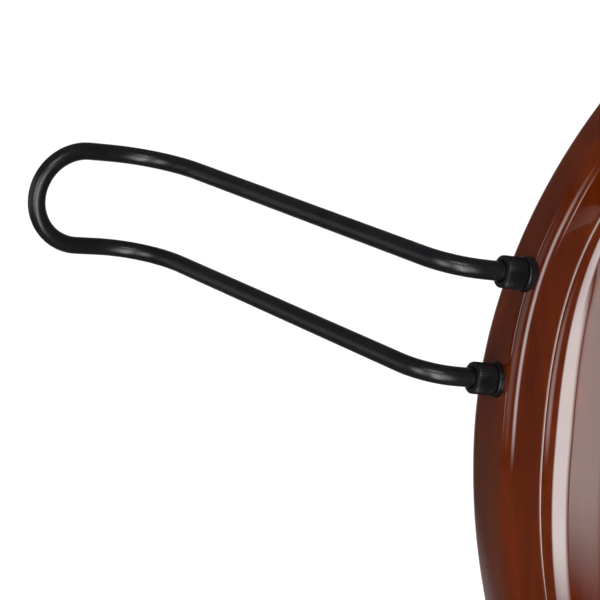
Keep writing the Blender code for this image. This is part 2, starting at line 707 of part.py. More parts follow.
def build_body_rest(body):
    seat = empty_at("body_rest_seat", facing(REST_SEAT, LEG_OUT, (0, 0, 1)))
    rod("body_rest_arm", rest_path(), ROD_RADIUS, "black_steel", resolution=2, parent=seat)
    for name, side in (("upper", 1), ("lower", -1)):
        at = (0, side * LEG_SPACING / 2, leg_seat(side))
        turned(f"socket_{name}", [
            (NECK_RADIUS, COLLET_INNER - GAP), (NECK_RADIUS, FLANGE_OUT),
            (FLANGE_RADIUS, FLANGE_OUT), (FLANGE_RADIUS, -FLANGE_SUNK),
            (BARREL_RADIUS, -FLANGE_SUNK), (BARREL_RADIUS, BARREL_END),
            (SOCKET_BORE, BARREL_END), (SOCKET_BORE, COLLET_INNER - GAP),
        ], "black_steel", at=at, parent=seat)
        turned(f"collet_{name}", [
            (NECK_RADIUS, COLLET_INNER + COLLET_LENGTH), (NECK_RADIUS, COLLET_INNER),
            (SOCKET_BORE, COLLET_INNER), (SOCKET_BORE, COLLET_INNER + COLLET_LENGTH),
        ], "nylon", at=at, parent=seat)
        thread = NECK_RADIUS + RUNNING
        turned(f"lock_nut_{name}", [
            (NUT_RADIUS - NUT_CHAMFER, NUT_OUTER), (NUT_RADIUS, NUT_OUTER - NUT_CHAMFER),
            (NUT_RADIUS, NUT_INNER), (thread, NUT_INNER), (thread, NUT_OUTER - NUT_LIP),
            (SOCKET_BORE, NUT_OUTER - NUT_LIP), (SOCKET_BORE, NUT_OUTER),
        ], "black_steel", at=at, parent=seat)
        bore = turned(f"cut_socket_{name}", [
            (FLANGE_RADIUS + GAP, CUT), (FLANGE_RADIUS + GAP, -FLANGE_SUNK - GAP),
            (BARREL_RADIUS + GAP, -FLANGE_SUNK - GAP), (BARREL_RADIUS + GAP, BARREL_END - GAP),
            (0, BARREL_END - GAP), (0, CUT),
        ], None, at=at, parent=seat, closed=False)
        cut(body, bore)


# ==== Endpin ===================================================================================

def build_endpin(body):
    bore = PIN_RADIUS + RUNNING
    flange_low = Z_BOTTOM - GAP - COLLAR_THICK
    flange_high = Z_BOTTOM - GAP
    plug_top = Z_BOTTOM + COLLAR_PLUG_LONG
    collar = turned("endpin_collar", [
        (COLLAR_PLUG_RADIUS, plug_top), (COLLAR_PLUG_RADIUS, flange_high),
        (COLLAR_RADIUS, flange_high), (COLLAR_RADIUS, flange_low + COLLAR_CHAMFER),
        (COLLAR_RADIUS - COLLAR_CHAMFER, flange_low), (bore, flange_low), (bore, plug_top),
    ], "black_steel")
    rod_low, rod_high = TIP_FLOOR + GAP, Z_BOTTOM + PIN_INSIDE
    cylinder("endpin_rod", PIN_RADIUS, (0, 0, rod_low), (0, 0, rod_high), "steel", sides=20)
    tip = turned("endpin_tip", [
        (0, TIP_HEIGHT), (bore + TIP_WALL, TIP_HEIGHT), (TIP_RADIUS, TIP_HEIGHT * 0.45),
        (TIP_RADIUS, TIP_HEIGHT * 0.2), (TIP_FOOT, 0), (0, 0),
    ], "rubber", closed=False)
    cut(tip, cylinder("cut_tip_bore", bore, (0, 0, TIP_FLOOR), (0, 0, TIP_HEIGHT + CUT)))
    bottom_hole = cylinder("cut_endpin_plug", COLLAR_PLUG_RADIUS + GAP,
                           (0, 0, Z_BOTTOM - CUT), (0, 0, plug_top + GAP))
    rod_hole = cylinder("cut_endpin_rod", bore + GAP,
                        (0, 0, Z_BOTTOM), (0, 0, rod_high + PIN_RETRACT + PIN_BORE_RELIEF), sides=20)
    cut(body, bottom_hole, rod_hole)
    # The thumbscrew runs through the collar from the front and bears on the rod.
    middle = (flange_low + flange_high) / 2
    axis = empty_at("endpin_screw_axis", facing((0, 0, middle), (0, -1, 0), (0, 0, 1)))
    head = COLLAR_RADIUS + THUMB_GAP
    turned("endpin_screw", [
        (0, head + THUMB_LONG), (THUMB_RADIUS, head + THUMB_LONG), (THUMB_RADIUS, head),
        (THUMB_STEM, head), (THUMB_STEM, PIN_RADIUS + GAP), (0, PIN_RADIUS + GAP),
    ], "black_steel", steps=20, parent=axis, closed=False)
    hole = cylinder("cut_endpin_screw", THUMB_STEM + RUNNING,
                    (0, -PIN_RADIUS, middle), (0, -COLLAR_RADIUS - CUT, middle), sides=20)
    cut(collar, hole)


# ==== Strings' plane, neck, fingerboard and nut ================================================

def bridge_top_y():
    return front_surface(0, Z_BRIDGE) - BRIDGE_HEIGHT


Y_BRIDGE_TOP = bridge_top_y()
STRING_TILT = math.atan2(STRING_Y_NUT - Y_BRIDGE_TOP, STRING_LENGTH)


def string_y(z):
    """Depth of the middle of the string plane between the nut and the bridge."""
    return STRING_Y_NUT - (Z_NUT - z) * math.tan(STRING_TILT)


def crown_drop(radius, x):
    """How far a round-topped piece has fallen away at x from its crown."""
    return radius - math.sqrt(radius ** 2 - x ** 2)


def board_top_y(z):
    share = (Z_NUT - z) / BOARD_LENGTH
    return string_y(z) + BOARD_DROP_NUT + (BOARD_DROP_END - BOARD_DROP_NUT) * share


def board_half(z):
    share = (Z_NUT - z) / BOARD_LENGTH
    return BOARD_NUT_HALF + (BOARD_END_HALF - BOARD_NUT_HALF) * share


def board_under_y(z):
    """The fingerboard's flat underside, which the neck is glued to."""
    return board_top_y(z) + crown_drop(BOARD_CROWN, board_half(z)) + BOARD_EDGE


def loft(name, sections, material):
    """A solid skin over matching sections, closed at both ends."""
    bm = bmesh.new()
    rings = [[bm.verts.new(p) for p in section] for section in sections]
    count = len(rings[0])
    for lower, upper in zip(rings, rings[1:]):
        for i in range(count):
            j = (i + 1) % count
            bm.faces.new((lower[i], lower[j], upper[j], upper[i]))
    bm.faces.new(rings[0])
    bm.faces.new(rings[-1])
    return place(name, mesh_from(bm, name), material)


def board_section(z, steps=10):
    half = board_half(z)
    under = board_under_y(z)
    top = [(-half + 2 * half * i / steps) for i in range(steps + 1)]
    section = [(x, board_top_y(z) + crown_drop(BOARD_CROWN, x), z) for x in top]
    return section + [(half, under, z), (-half, under, z)]


def neck_section(z, steps=12):
    """Flat under the fingerboard and half round behind."""
    share = (Z_NUT - z) / (Z_NUT - Z_TOP)
    half = min(HEEL_HALF, board_half(z) - 1 * MM)
    deep = NECK_NUT_DEEP + (NECK_HEEL_DEEP - NECK_NUT_DEEP) * share
    top = board_under_y(z) + GAP
    edge = 3 * MM
    section = [(-half, top, z)]
    for i in range(steps + 1):
        angle = math.pi * i / steps
        section.append((-half * math.cos(angle), top + edge + (deep - edge) * math.sin(angle), z))
    return section + [(half, top, z)]


def build_neck(body):
    loft("fingerboard", [board_section(Z_NUT - i * BOARD_LENGTH / 8) for i in range(9)], "ebony")
    neck_low = Z_TOP - HEEL_LENGTH
    floor = Y_HEEL
    shaft_bottom = Z_TOP + GAP
    shaft_top = Z_NUT + NECK_PAST_NUT
    levels = [shaft_top - (shaft_top - shaft_bottom) * i / 8 for i in range(9)]
    neck = loft("neck", [neck_section(z) for z in levels], "lacquered_maple")
    # The heel: a block between the fingerboard and its pocket in the body.
    heel_high = Z_TOP + HEEL_LAP
    heel = loft("heel_block", [
        [(-HEEL_HALF, board_under_y(z) + GAP, z), (-HEEL_HALF, floor - GAP, z),
         (HEEL_HALF, floor - GAP, z), (HEEL_HALF, board_under_y(z) + GAP, z)]
        for z in (neck_low + GAP, heel_high)], None)
    join(neck, heel)
    pocket = box("cut_heel_pocket",
                 (-HEEL_HALF - GAP, Y_FRONT - ARCH_HEIGHT - CUT, neck_low),
                 (HEEL_HALF + GAP, floor, Z_TOP + CUT))
    cut(body, pocket)
    # The nut stands across the end of the fingerboard.
    nut_half = BOARD_NUT_HALF
    steps = 12
    crown = board_top_y(Z_NUT) - TOP_NUT_PROUD
    under = board_under_y(Z_NUT)
    top = [(-nut_half + 2 * nut_half * i / steps) for i in range(steps + 1)]
    nut = loft("top_nut", [
        [(x, crown + crown_drop(BOARD_CROWN, x), z) for x in top]
        + [(nut_half, under, z), (-nut_half, under, z)]
        for z in (Z_NUT + GAP, Z_NUT + GAP + TOP_NUT_LONG)], "ebony")
    return neck, nut


# ==== Head, tuning machines ====================================================================

Z_HEAD = Z_NUT + GAP
Y_HEAD_FRONT = board_under_y(Z_NUT)
Y_HEAD_BACK = Y_HEAD_FRONT + NECK_NUT_DEEP
Y_POST = STRING_Y_NUT + POST_BEHIND
Z_SCROLL = Z_HEAD + HEAD_LENGTH + SCROLL_RADIUS * 0.55
Y_SCROLL = Y_POST + SCROLL_RADIUS * 0.35


def post_z(order):
    return Z_HEAD + FIRST_POST_UP + POST_PITCH * order


def head_outline():
    """Side view of the pegbox as (depth, height): swept back a little, with a curved back."""
    front_top = (Y_SCROLL - SCROLL_RADIUS * 0.75, Z_SCROLL)
    back_top = (Y_SCROLL + SCROLL_RADIUS * 0.75, Z_SCROLL)
    start = (Y_HEAD_FRONT + HEAD_FRONT_STEP, Z_NUT + TOP_NUT_LONG + 2 * GAP)
    front = bezier(start, (start[0], start[1] + 60 * MM),
                   (front_top[0], front_top[1] - 60 * MM), front_top, 8)
    back = bezier(back_top, (back_top[0] + 6 * MM, back_top[1] - 50 * MM),
                  (Y_HEAD_BACK + 26 * MM, Z_HEAD + 34 * MM), (Y_HEAD_BACK, Z_HEAD), 10)
    return front + back


def build_head(neck):
    """The pegbox and scroll, which are one piece of wood with the neck."""
    side_view = facing((0, 0, 0), (1, 0, 0), (0, 0, 1))       # local X is depth, local Y is height
    pegbox = as_mesh(plate("pegbox", [head_outline()], 2 * HEAD_HALF, None, side_view))
    for index, (radius, half) in enumerate(zip(SCROLL_RADII, SCROLL_HALF_WIDTHS)):
        disc = cylinder(f"scroll_turn_{index}", radius, (-half, Y_SCROLL, Z_SCROLL),
                        (half, Y_SCROLL, Z_SCROLL), sides=24)
        join(pegbox, disc)
    back_wall = max(y for y, z in head_outline()) - HEAD_BACK_WALL
    channel_low, channel_high = Z_HEAD + CHANNEL_START, post_z(3) + CHANNEL_PAST_POST
    channel = box("cut_string_channel", (-CHANNEL_HALF, Y_HEAD_FRONT - HEAD_HALF, channel_low),
                  (CHANNEL_HALF, min(back_wall, Y_POST + CHANNEL_BEHIND_POST), channel_high))
    cut(pegbox, channel)
    join(neck, pegbox)
    for name, order, side in MACHINES:
        hole = cylinder(f"cut_post_{name}", POST_RADIUS + RUNNING,
                        (-HEAD_HALF - CUT, Y_POST, post_z(order)),
                        (HEAD_HALF + CUT, Y_POST, post_z(order)), sides=16)
        cut(neck, hole)


def gear_outline(teeth, tip, root):
    loop = []
    for tooth in range(teeth):
        for radius, share in ((root, -0.3), (tip, -0.14), (tip, 0.14), (root, 0.3)):
            angle = 2 * math.pi * (tooth + share) / teeth
            loop.append((radius * math.cos(angle), radius * math.sin(angle)))
    return loop


def build_machine(name, order, side):
    """One tuning machine: a plate with two ears, a worm with its key, a gear and a string post."""
    z = post_z(order)
    # Frame of the machine: +Z out of the pegbox's cheek, +Y up, origin on the cheek at the post.
    cheek = empty_at(f"machine_{name}", facing((side * HEAD_HALF, Y_POST, z), (side, 0, 0), (0, 0, 1)))
    back = -side                       # local X that points to the back of the instrument
    worm_down = GEAR_RADIUS + WORM_RADIUS + WORM_CLEARANCE
    plate_top = GAP + PLATE_THICK
    worm_up = plate_top + WORM_RADIUS + GAP
    half_deep = PLATE_DEEP / 2
    base = box(f"tuner_plate_{name}", (-half_deep, -PLATE_BELOW, GAP), (half_deep, PLATE_ABOVE, plate_top),
               "black_steel", parent=cheek)
    ears = []
    for x in (-1, 1):
        low = x * (WORM_LENGTH / 2 + EAR_CLEARANCE)
        high = low + x * EAR_THICK
        ears.append(box(f"ear_{name}_{x + 1}",
                        (min(low, high), -worm_down - EAR_HALF, plate_top - EAR_ROOT),
                        (max(low, high), -worm_down + EAR_HALF, worm_up + EAR_HALF), parent=cheek))
    join(base, *ears)
    post_hole = cylinder(f"cut_plate_post_{name}", POST_RADIUS + RUNNING, (0, 0, -CUT),
                         (0, 0, plate_top + CUT), sides=16, parent=cheek)
    shaft_hole = cylinder(f"cut_plate_shaft_{name}", KEY_SHAFT + RUNNING,
                          (-half_deep, -worm_down, worm_up), (half_deep, -worm_down, worm_up),
                          sides=12, parent=cheek)
    cut(base, post_hole, shaft_hole)
    # String post through both cheeks, with the gear on its outer end.
    far = -2 * HEAD_HALF - POST_PROUD
    gear_low = worm_up - GEAR_THICK / 2
    cylinder(f"tuner_post_{name}", POST_RADIUS, (0, 0, far), (0, 0, gear_low - GAP), "steel",
             sides=16, parent=cheek)
    teeth = gear_outline(GEAR_TEETH, GEAR_RADIUS, GEAR_RADIUS - GEAR_TOOTH)
    plate(f"tuner_gear_{name}", [teeth], GEAR_THICK, "steel", Matrix.Translation((0, 0, worm_up)),
          parent=cheek)
    # Worm, shaft and key as one turned piece with a flat paddle.
    axis = empty_at(f"key_axis_{name}",
                    cheek.matrix_basis @ facing((0, -worm_down, worm_up), (back, 0, 0), (0, 1, 0)))
    half_worm = WORM_LENGTH / 2
    neck_top = half_deep + KEY_REACH
    shaft_low = KEY_TAPER_RUN - half_deep
    profile = [(0, neck_top), (KEY_SHAFT + KEY_FLARE, neck_top), (KEY_SHAFT, half_deep + KEY_TAPER_RUN),
               (KEY_SHAFT, half_worm)]
    pitch = WORM_LENGTH / WORM_THREADS
    for turn in range(WORM_THREADS):
        top = half_worm - turn * pitch
        profile += [(WORM_ROOT, top), (WORM_RADIUS, top - pitch * 0.35),
                    (WORM_RADIUS, top - pitch * 0.6), (WORM_ROOT, top - pitch * 0.95)]
    profile += [(KEY_SHAFT, -half_worm), (KEY_SHAFT, shaft_low), (0, shaft_low)]
    key = turned(f"tuner_key_{name}", profile, "black_steel", steps=12, parent=axis, closed=False)
    paddle_outline = [(KEY_WIDE / 2 * math.cos(a) * (0.72 + 0.28 * math.sin(a)),
                       KEY_LONG / 2 + KEY_LONG / 2 * math.sin(a))
                      for a in [2 * math.pi * i / 16 for i in range(16)]]
    paddle = as_mesh(plate(f"paddle_{name}", [paddle_outline], KEY_THICK, None,
                           Matrix.Translation((0, 0, neck_top - KEY_IN_PADDLE))
                           @ Matrix.Rotation(math.pi / 2, 4, "X"),
                           parent=axis))
    join(key, paddle)


def build_machines():
    for name, order, side in MACHINES:
        build_machine(name, order, side)


def turned_screw(name, long, radius, head, head_thick, sides=8):
    """A pan-head screw: its head sits on the XY plane of its frame and its thread runs down -Z."""
    return turned(name, [(0, head_thick), (head * 0.75, head_thick), (head, 0), (radius, 0),
                         (radius, -long), (0, -long)], "steel", steps=sides, closed=False)


# ==== Bridge, tailpiece, saddle, strings =======================================================

def bridge_outline():
    """Front view of the bridge as (x, depth), feet on the arching and a round crown on top."""
    feet = [(x, front_surface(x, Z_BRIDGE) - GAP) for x in
            (BRIDGE_FOOT_OUT, (BRIDGE_FOOT_IN + BRIDGE_FOOT_OUT) / 2, BRIDGE_FOOT_IN)]
    arch_floor = feet[2][1]
    right = [(BRIDGE_FOOT_OUT, feet[0][1] - FOOT_HIGH)] + feet
    right.append((BRIDGE_FOOT_IN, arch_floor - FOOT_HIGH * 0.6))
    for i in range(5):
        angle = math.pi / 2 * i / 4
        right.append((BRIDGE_ARCH_HALF * math.cos(angle),
                      arch_floor - FOOT_HIGH * 0.6 - (BRIDGE_ARCH_HIGH - FOOT_HIGH * 0.6) * math.sin(angle)))
    right[-1] = (0.0, right[-1][1])
    crown = [(BRIDGE_TOP_HALF * i / 8, Y_BRIDGE_TOP + crown_drop(BRIDGE_CROWN, BRIDGE_TOP_HALF * i / 8))
             for i in range(9)]
    side = bezier(crown[-1], (BRIDGE_TOP_HALF - 2 * MM, crown[-1][1] + 18 * MM),
                  (BRIDGE_WAIST_HALF, right[0][1] - 26 * MM),
                  (BRIDGE_WAIST_HALF + 3 * MM, right[0][1] - 10 * MM), 6)
    lower = bezier(side[-1], (BRIDGE_WAIST_HALF + 6 * MM, right[0][1] - 3 * MM),
                   (BRIDGE_FOOT_OUT - 6 * MM, right[0][1]), right[0], 4)
    half = crown[:-1] + side[:-1] + lower[:-1] + right
    return half + [(-x, y) for x, y in reversed(half[1:-1])]


def build_bridge():
    flat = facing((0, 0, Z_BRIDGE), (0, 0, -1), (0, 1, 0))     # local X is -X, local Y is depth
    mirrored = [(-x, y) for x, y in bridge_outline()]
    bridge = as_mesh(plate("bridge", [mirrored], BRIDGE_THICK, "bridge_maple", flat))
    for name, place_x in zip(STRING_NAMES, STRING_PLACES):
        x = place_x * BRIDGE_SPACING
        radius = STRING_RADII[name] + GAP
        y = string_at_bridge(name)
        notch = cylinder(f"cut_bridge_{name}", radius, (x, y, Z_BRIDGE - 3 * BRIDGE_THICK),
                         (x, y, Z_BRIDGE + 3 * BRIDGE_THICK), sides=12)
        cut(bridge, notch)


def string_at_bridge(name):
    x = STRING_PLACES[STRING_NAMES.index(name)] * BRIDGE_SPACING
    return Y_BRIDGE_TOP + crown_drop(BRIDGE_CROWN, x) + NOTCH_DEEP - STRING_RADII[name]


def string_at_nut(name):
    x = STRING_PLACES[STRING_NAMES.index(name)] * NUT_SPACING
    crown = board_top_y(Z_NUT) - TOP_NUT_PROUD
    return crown + crown_drop(BOARD_CROWN, x) + NOTCH_DEEP - STRING_RADII[name]


def tail_matrix():
    """Frame of the tailpiece: local Y runs up its length, local Z out of its face."""
    top = Vector((0, Y_FRONT - TAIL_LIFT_TOP, Z_BOTTOM + TAIL_TOP_UP))
    down = Vector((0, TAIL_LIFT_TOP - TAIL_LIFT_BOTTOM, -TAIL_LENGTH)).normalized()
    return facing(top, Vector((0, -1, 0)), -down)


def build_tail(body):
    matrix = tail_matrix()
    outline = []
    for half, along, bulge in ((TAIL_TOP_HALF, 0.0, 1), (TAIL_BOTTOM_HALF, -TAIL_LENGTH, -1)):
        for i in range(7):
            angle = math.pi * (i / 6) * bulge
            x = half * math.cos(angle) if bulge > 0 else -half * math.cos(angle)
            outline.append((x, along + bulge * TAIL_END_BULGE * math.sin(math.pi * i / 6)))
    tail = as_mesh(plate("tailpiece", [outline], TAIL_THICK, "ebony", matrix))
    add_bevel(tail, TAIL_EDGE, 1)
    # The wire leaves the tailpiece's lower end, crosses the saddle and loops round the collar.
    end = matrix @ Vector((0, -TAIL_LENGTH - TAIL_END_BULGE, 0))
    saddle_low = Z_BOTTOM + SADDLE_UP
    saddle_top_y = Y_FRONT - SADDLE_PROUD
    over = saddle_top_y - WIRE_RADIUS - GAP
    loop_z = Z_BOTTOM - GAP - COLLAR_THICK * 0.5
    around = COLLAR_RADIUS + WIRE_RADIUS + GAP
    wire_top = end.z + WIRE_IN_TAIL
    right = [(WIRE_HALF, end.y, wire_top), (WIRE_HALF, over, saddle_low + SADDLE_LONG),
             (WIRE_HALF, over, saddle_low), (WIRE_HALF + 1 * MM, over + 3 * MM, Z_BOTTOM - 1 * MM),
             (around * 0.99, -around * 0.55, loop_z + 3 * MM)]
    back = [(around * math.cos(a), around * math.sin(a), loop_z) for a in
            [math.pi * i / 10 for i in range(11)]]
    path = right + back + [(-x, y, z) for x, y, z in reversed(right)]
    rod("tail_wire", path, WIRE_RADIUS, "steel", resolution=2)
    for side in (-1, 1):
        hole = cylinder(f"cut_tail_wire_{side + 1}", WIRE_RADIUS + GAP,
                        (side * WIRE_HALF, end.y, wire_top + GAP),
                        (side * WIRE_HALF, over, saddle_low + SADDLE_LONG), sides=12)
        cut(tail, hole)
    for name, place_x in zip(STRING_NAMES, STRING_PLACES):
        low, high = string_tail_points(name)
        direction = (high - low).normalized()
        slot = cylinder(f"cut_tail_{name}", STRING_RADII[name] + GAP, low - direction * GAP * 2,
                        low + direction * 60 * MM, sides=12)
        cut(tail, slot)
    box("saddle", (-SADDLE_HALF, Y_FRONT - SADDLE_PROUD, saddle_low),
        (SADDLE_HALF, Y_FRONT + SADDLE_SINK, saddle_low + SADDLE_LONG), "ebony", SADDLE_EDGE, segments=1)
    pocket = box("cut_saddle", (-SADDLE_HALF - GAP, Y_FRONT - CUT * 2, saddle_low - GAP),
                 (SADDLE_HALF + GAP, Y_FRONT + SADDLE_SINK + GAP, saddle_low + SADDLE_LONG + GAP))
    cut(body, pocket)


def string_tail_points(name):
    """Where a string ends inside the tailpiece, and where it meets the bridge."""
    index = STRING_NAMES.index(name)
    matrix = tail_matrix()
    low = matrix @ Vector((STRING_PLACES[index] * TAIL_SPACING, -TAIL_STRING_IN, 0))
    high = Vector((STRING_PLACES[index] * BRIDGE_SPACING, string_at_bridge(name),
                   Z_BRIDGE - BRIDGE_THICK / 2))
    return low, high


def build_strings(nut):
    for name, order, side in MACHINES:
        index = STRING_NAMES.index(name)
        radius = STRING_RADII[name]
        low, at_bridge = string_tail_points(name)
        x_bridge, x_nut = STRING_PLACES[index] * BRIDGE_SPACING, STRING_PLACES[index] * NUT_SPACING
        y_nut = string_at_nut(name)
        x_post = STRING_PLACES[index] * POST_SPACING
        clear = POST_RADIUS + radius + GAP
        path = [low, at_bridge, Vector((x_bridge, string_at_bridge(name), Z_BRIDGE + BRIDGE_THICK / 2)),
                Vector((x_nut, y_nut, Z_NUT)), Vector((x_nut, y_nut, Z_NUT + GAP + TOP_NUT_LONG)),
                Vector((x_post, Y_POST - clear, post_z(order) - 1 * MM)),
                Vector((x_post, Y_POST - clear, post_z(order) + 2 * MM))]
        rod(f"string_{name}", path, radius, "steel", resolution=2)
        notch = cylinder(f"cut_nut_{name}", radius + GAP, (x_nut, y_nut, Z_NUT - CUT),
                         (x_nut, y_nut, Z_NUT + TOP_NUT_LONG + CUT), sides=12)
        cut(nut, notch)


# ==== Pickup and electronics ===================================================================

def build_pickup(body):
    """Two piezo discs on the bridge's lower face, and the lead that runs into the body."""
    z = Z_BRIDGE - BRIDGE_THICK / 2 - GAP
    y = Y_BRIDGE_TOP + PIEZO_BELOW_CROWN
    for name, side in (("bass", -1), ("treble", 1)):
        cylinder(f"piezo_pickup_{name}", PIEZO_RADIUS, (side * PIEZO_HALF, y, z),
                 (side * PIEZO_HALF, y, z - PIEZO_THICK), "black_plastic")
    hole_x, hole_z = PIEZO_HALF, Z_BRIDGE - LEAD_BELOW_BRIDGE
    surface = front_surface(hole_x, hole_z)
    lead_top = (hole_x, y + PIEZO_RADIUS + GAP + LEAD_RADIUS, z - PIEZO_THICK / 2)
    low = surface + LEAD_IN_BODY
    path = [lead_top, (hole_x, y + PIEZO_RADIUS + 10 * MM, z - 4 * MM),
            (hole_x, surface - 16 * MM, z - 12 * MM),
            (hole_x, surface - 7 * MM, hole_z), (hole_x, low, hole_z)]
    rod("pickup_lead", path, LEAD_RADIUS, "rubber", resolution=2)
    grommet = facing((hole_x, surface, hole_z), (0, -1, 0), (0, 0, 1))
    ring = turned("lead_grommet", [
        (GROMMET_RADIUS, GROMMET_TOP), (GROMMET_RADIUS, GROMMET_SEAT), (GROMMET_NECK, GROMMET_SEAT),
        (GROMMET_NECK, GROMMET_LOW), (LEAD_RADIUS + GAP, GROMMET_LOW),
        (LEAD_RADIUS + GAP, GROMMET_TOP)], "rubber", steps=16)
    ring.matrix_world = grommet
    hole = cylinder("cut_lead", GROMMET_NECK + GAP, (hole_x, surface - CUT, hole_z),
                    (hole_x, low + GAP * 2, hole_z), sides=16)
    cut(body, hole)


def build_controls(body):
    """Control cavity with its cover, two potentiometers with knobs, the output jack and the preamp."""
    low_x, high_x = CAVITY_X
    low_z, high_z = Z_BOTTOM + CAVITY_UP[0], Z_BOTTOM + CAVITY_UP[1]
    floor = Y_BACK - CAVITY_DEEP
    cavity = box("cut_cavity", (low_x, floor, low_z), (high_x, Y_BACK + CUT, high_z))
    cut(body, cavity)
    middle = Vector(((low_x + high_x) / 2, 0, (low_z + high_z) / 2))
    half_x, half_z = (high_x - low_x) / 2 + COVER_SIDE_RIM, (high_z - low_z) / 2 + COVER_RIM
    behind = facing((middle.x, Y_BACK - COVER_THICK / 2, middle.z), (0, 1, 0), (0, 0, 1))
    cover = as_mesh(plate("control_cover", [rounded_rectangle(half_x, half_z, COVER_CORNER)], COVER_THICK,
                          "black_plastic", behind))
    recess_deep = COVER_THICK + GAP + CUT
    outside = facing((middle.x, Y_BACK + CUT - recess_deep / 2, middle.z), (0, 1, 0), (0, 0, 1))
    recess = as_mesh(plate("cut_cover", [rounded_rectangle(half_x + GAP, half_z + GAP, COVER_CORNER)],
                           recess_deep, None, outside))
    cut(body, recess)
    for name, up in (("lower", -1), ("upper", 1)):
        z = middle.z + up * (half_z - COVER_RIM / 2)
        screw = turned_screw(f"cover_screw_{name}", SCREW_LONG, SCREW_RADIUS, SCREW_HEAD, SCREW_HEAD_THICK)
        screw.matrix_world = facing((middle.x, Y_BACK + GAP, z), (0, 1, 0), (0, 0, 1))
        for target in (cover, body):
            hole = cylinder(f"cut_cover_screw_{name}_{target.name}", SCREW_RADIUS + GAP,
                            (middle.x, Y_BACK - SCREW_LONG - 2 * GAP, z),
                            (middle.x, Y_BACK + CUT, z), sides=8)
            cut(target, hole)
    inner = high_x - GAP
    for name, up in POT_UP.items():
        z = Z_BOTTOM + up
        surface = half_width(z)
        axis = facing((0, CONTROL_BEHIND, z), (1, 0, 0), (0, 0, 1))
        shaft_end = surface + KNOB_STANDOFF + KNOB_HIGH * 0.6
        pot = turned(f"{name}_pot", [
            (0, shaft_end), (POT_SHAFT, shaft_end), (POT_SHAFT, surface), (POT_BUSH, surface),
            (POT_BUSH, inner), (POT_RADIUS, inner), (POT_RADIUS, inner - POT_DEEP), (0, inner - POT_DEEP)],
            "steel", steps=20, closed=False)
        pot.matrix_world = axis
        base = surface + KNOB_STANDOFF
        top = base + KNOB_HIGH
        knob = turned(f"{name}_knob", [
            (0, top), (KNOB_RADIUS - KNOB_TAPER - KNOB_CHAMFER, top),
            (KNOB_RADIUS - KNOB_TAPER, top - KNOB_CHAMFER),
            (KNOB_RADIUS, base), (POT_SHAFT + RUNNING, base), (POT_SHAFT + RUNNING, shaft_end + GAP),
            (0, shaft_end + GAP)], "black_plastic", steps=28, closed=False)
        knob.matrix_world = axis
        cut(body, cylinder(f"cut_{name}", POT_BUSH + GAP, (inner - CUT, CONTROL_BEHIND, z),
                           (surface + CUT, CONTROL_BEHIND, z), sides=20))
    z = Z_BOTTOM + JACK_UP
    seat = half_width(z) - JACK_SEAT
    flange_low = seat + GAP
    flange_high = flange_low + JACK_FLANGE_THICK
    jack = turned("output_jack", [
        (JACK_FLANGE, flange_high), (JACK_FLANGE, flange_low), (JACK_BARREL, flange_low),
        (JACK_BARREL, inner), (JACK_RADIUS, inner), (JACK_RADIUS, inner - JACK_INSIDE),
        (JACK_BORE, inner - JACK_INSIDE), (JACK_BORE, flange_high)], "black_steel")
    jack.matrix_world = facing((0, CONTROL_BEHIND, z), (1, 0, 0), (0, 0, 1))
    cut(body, cylinder("cut_jack", JACK_BARREL + GAP, (inner - CUT, CONTROL_BEHIND, z),
                       (seat + CUT, CONTROL_BEHIND, z)),
        cylinder("cut_jack_seat", JACK_FLANGE + GAP, (seat, CONTROL_BEHIND, z),
                 (seat + 2 * CUT, CONTROL_BEHIND, z)))
    board_x, board_y, board_z = BOARD_SIZE
    corner = Vector((low_x + BOARD_INSET, floor + STANDOFF_HIGH, middle.z - board_z / 2))
    board = box("preamp_board", corner, corner + Vector(BOARD_SIZE), "board_green")
    chip_corner = corner + Vector(((board_x - CHIP_SIZE[0]) / 2, board_y - CHIP_LAP,
                                   (board_z - CHIP_SIZE[2]) / 2))
    join(board, box("chip", chip_corner, chip_corner + Vector(CHIP_SIZE)))
    standoffs = []
    for end, dz in (("lower", STANDOFF_INSET), ("upper", board_z - STANDOFF_INSET)):
        foot = corner + Vector((board_x / 2, GAP - STANDOFF_HIGH, dz))
        standoffs.append(cylinder(f"standoff_{end}", STANDOFF_RADIUS, foot,
                                  corner + Vector((board_x / 2, CHIP_LAP, dz)), sides=10))
    join(board, *standoffs)


def build_battery(body):
    """Battery in its well in the back, under a hinged door."""
    size = Vector(BATTERY_SIZE)
    middle = Vector((BATTERY_X, 0, Z_BOTTOM + BATTERY_UP))
    top = Y_BACK - DOOR_THICK - 2 * GAP - BATTERY_ROOM
    low = Vector((middle.x - size.x / 2, top - size.y, middle.z - size.z / 2))
    box("battery", low, low + size, "battery_shell", bevel=BATTERY_EDGE, segments=1)
    room = Vector((BATTERY_ROOM, 0, BATTERY_ROOM))
    cut(body, box("cut_battery", low - room - Vector((0, GAP, 0)),
                  Vector((low.x + size.x, Y_BACK + CUT, low.z + size.z)) + room))
    door_low = low - room - Vector((DOOR_EDGE, 0, DOOR_EDGE))
    door_high = low + size + room + Vector((DOOR_EDGE, 0, DOOR_EDGE))
    hinge = empty_at("battery_door_hinge", Matrix.Translation((middle.x, Y_BACK, door_low.z)))
    wide = door_high.x - door_low.x
    tall = door_high.z - door_low.z
    box("battery_door", (-wide / 2, -DOOR_THICK, 0), (wide / 2, 0, tall), "black_plastic", parent=hinge)
    cut(body, box("cut_door", (door_low.x - DOOR_GAP, Y_BACK - DOOR_THICK - GAP, door_low.z - DOOR_GAP),
                  (door_high.x + DOOR_GAP, Y_BACK + CUT, door_high.z + DOOR_GAP)))


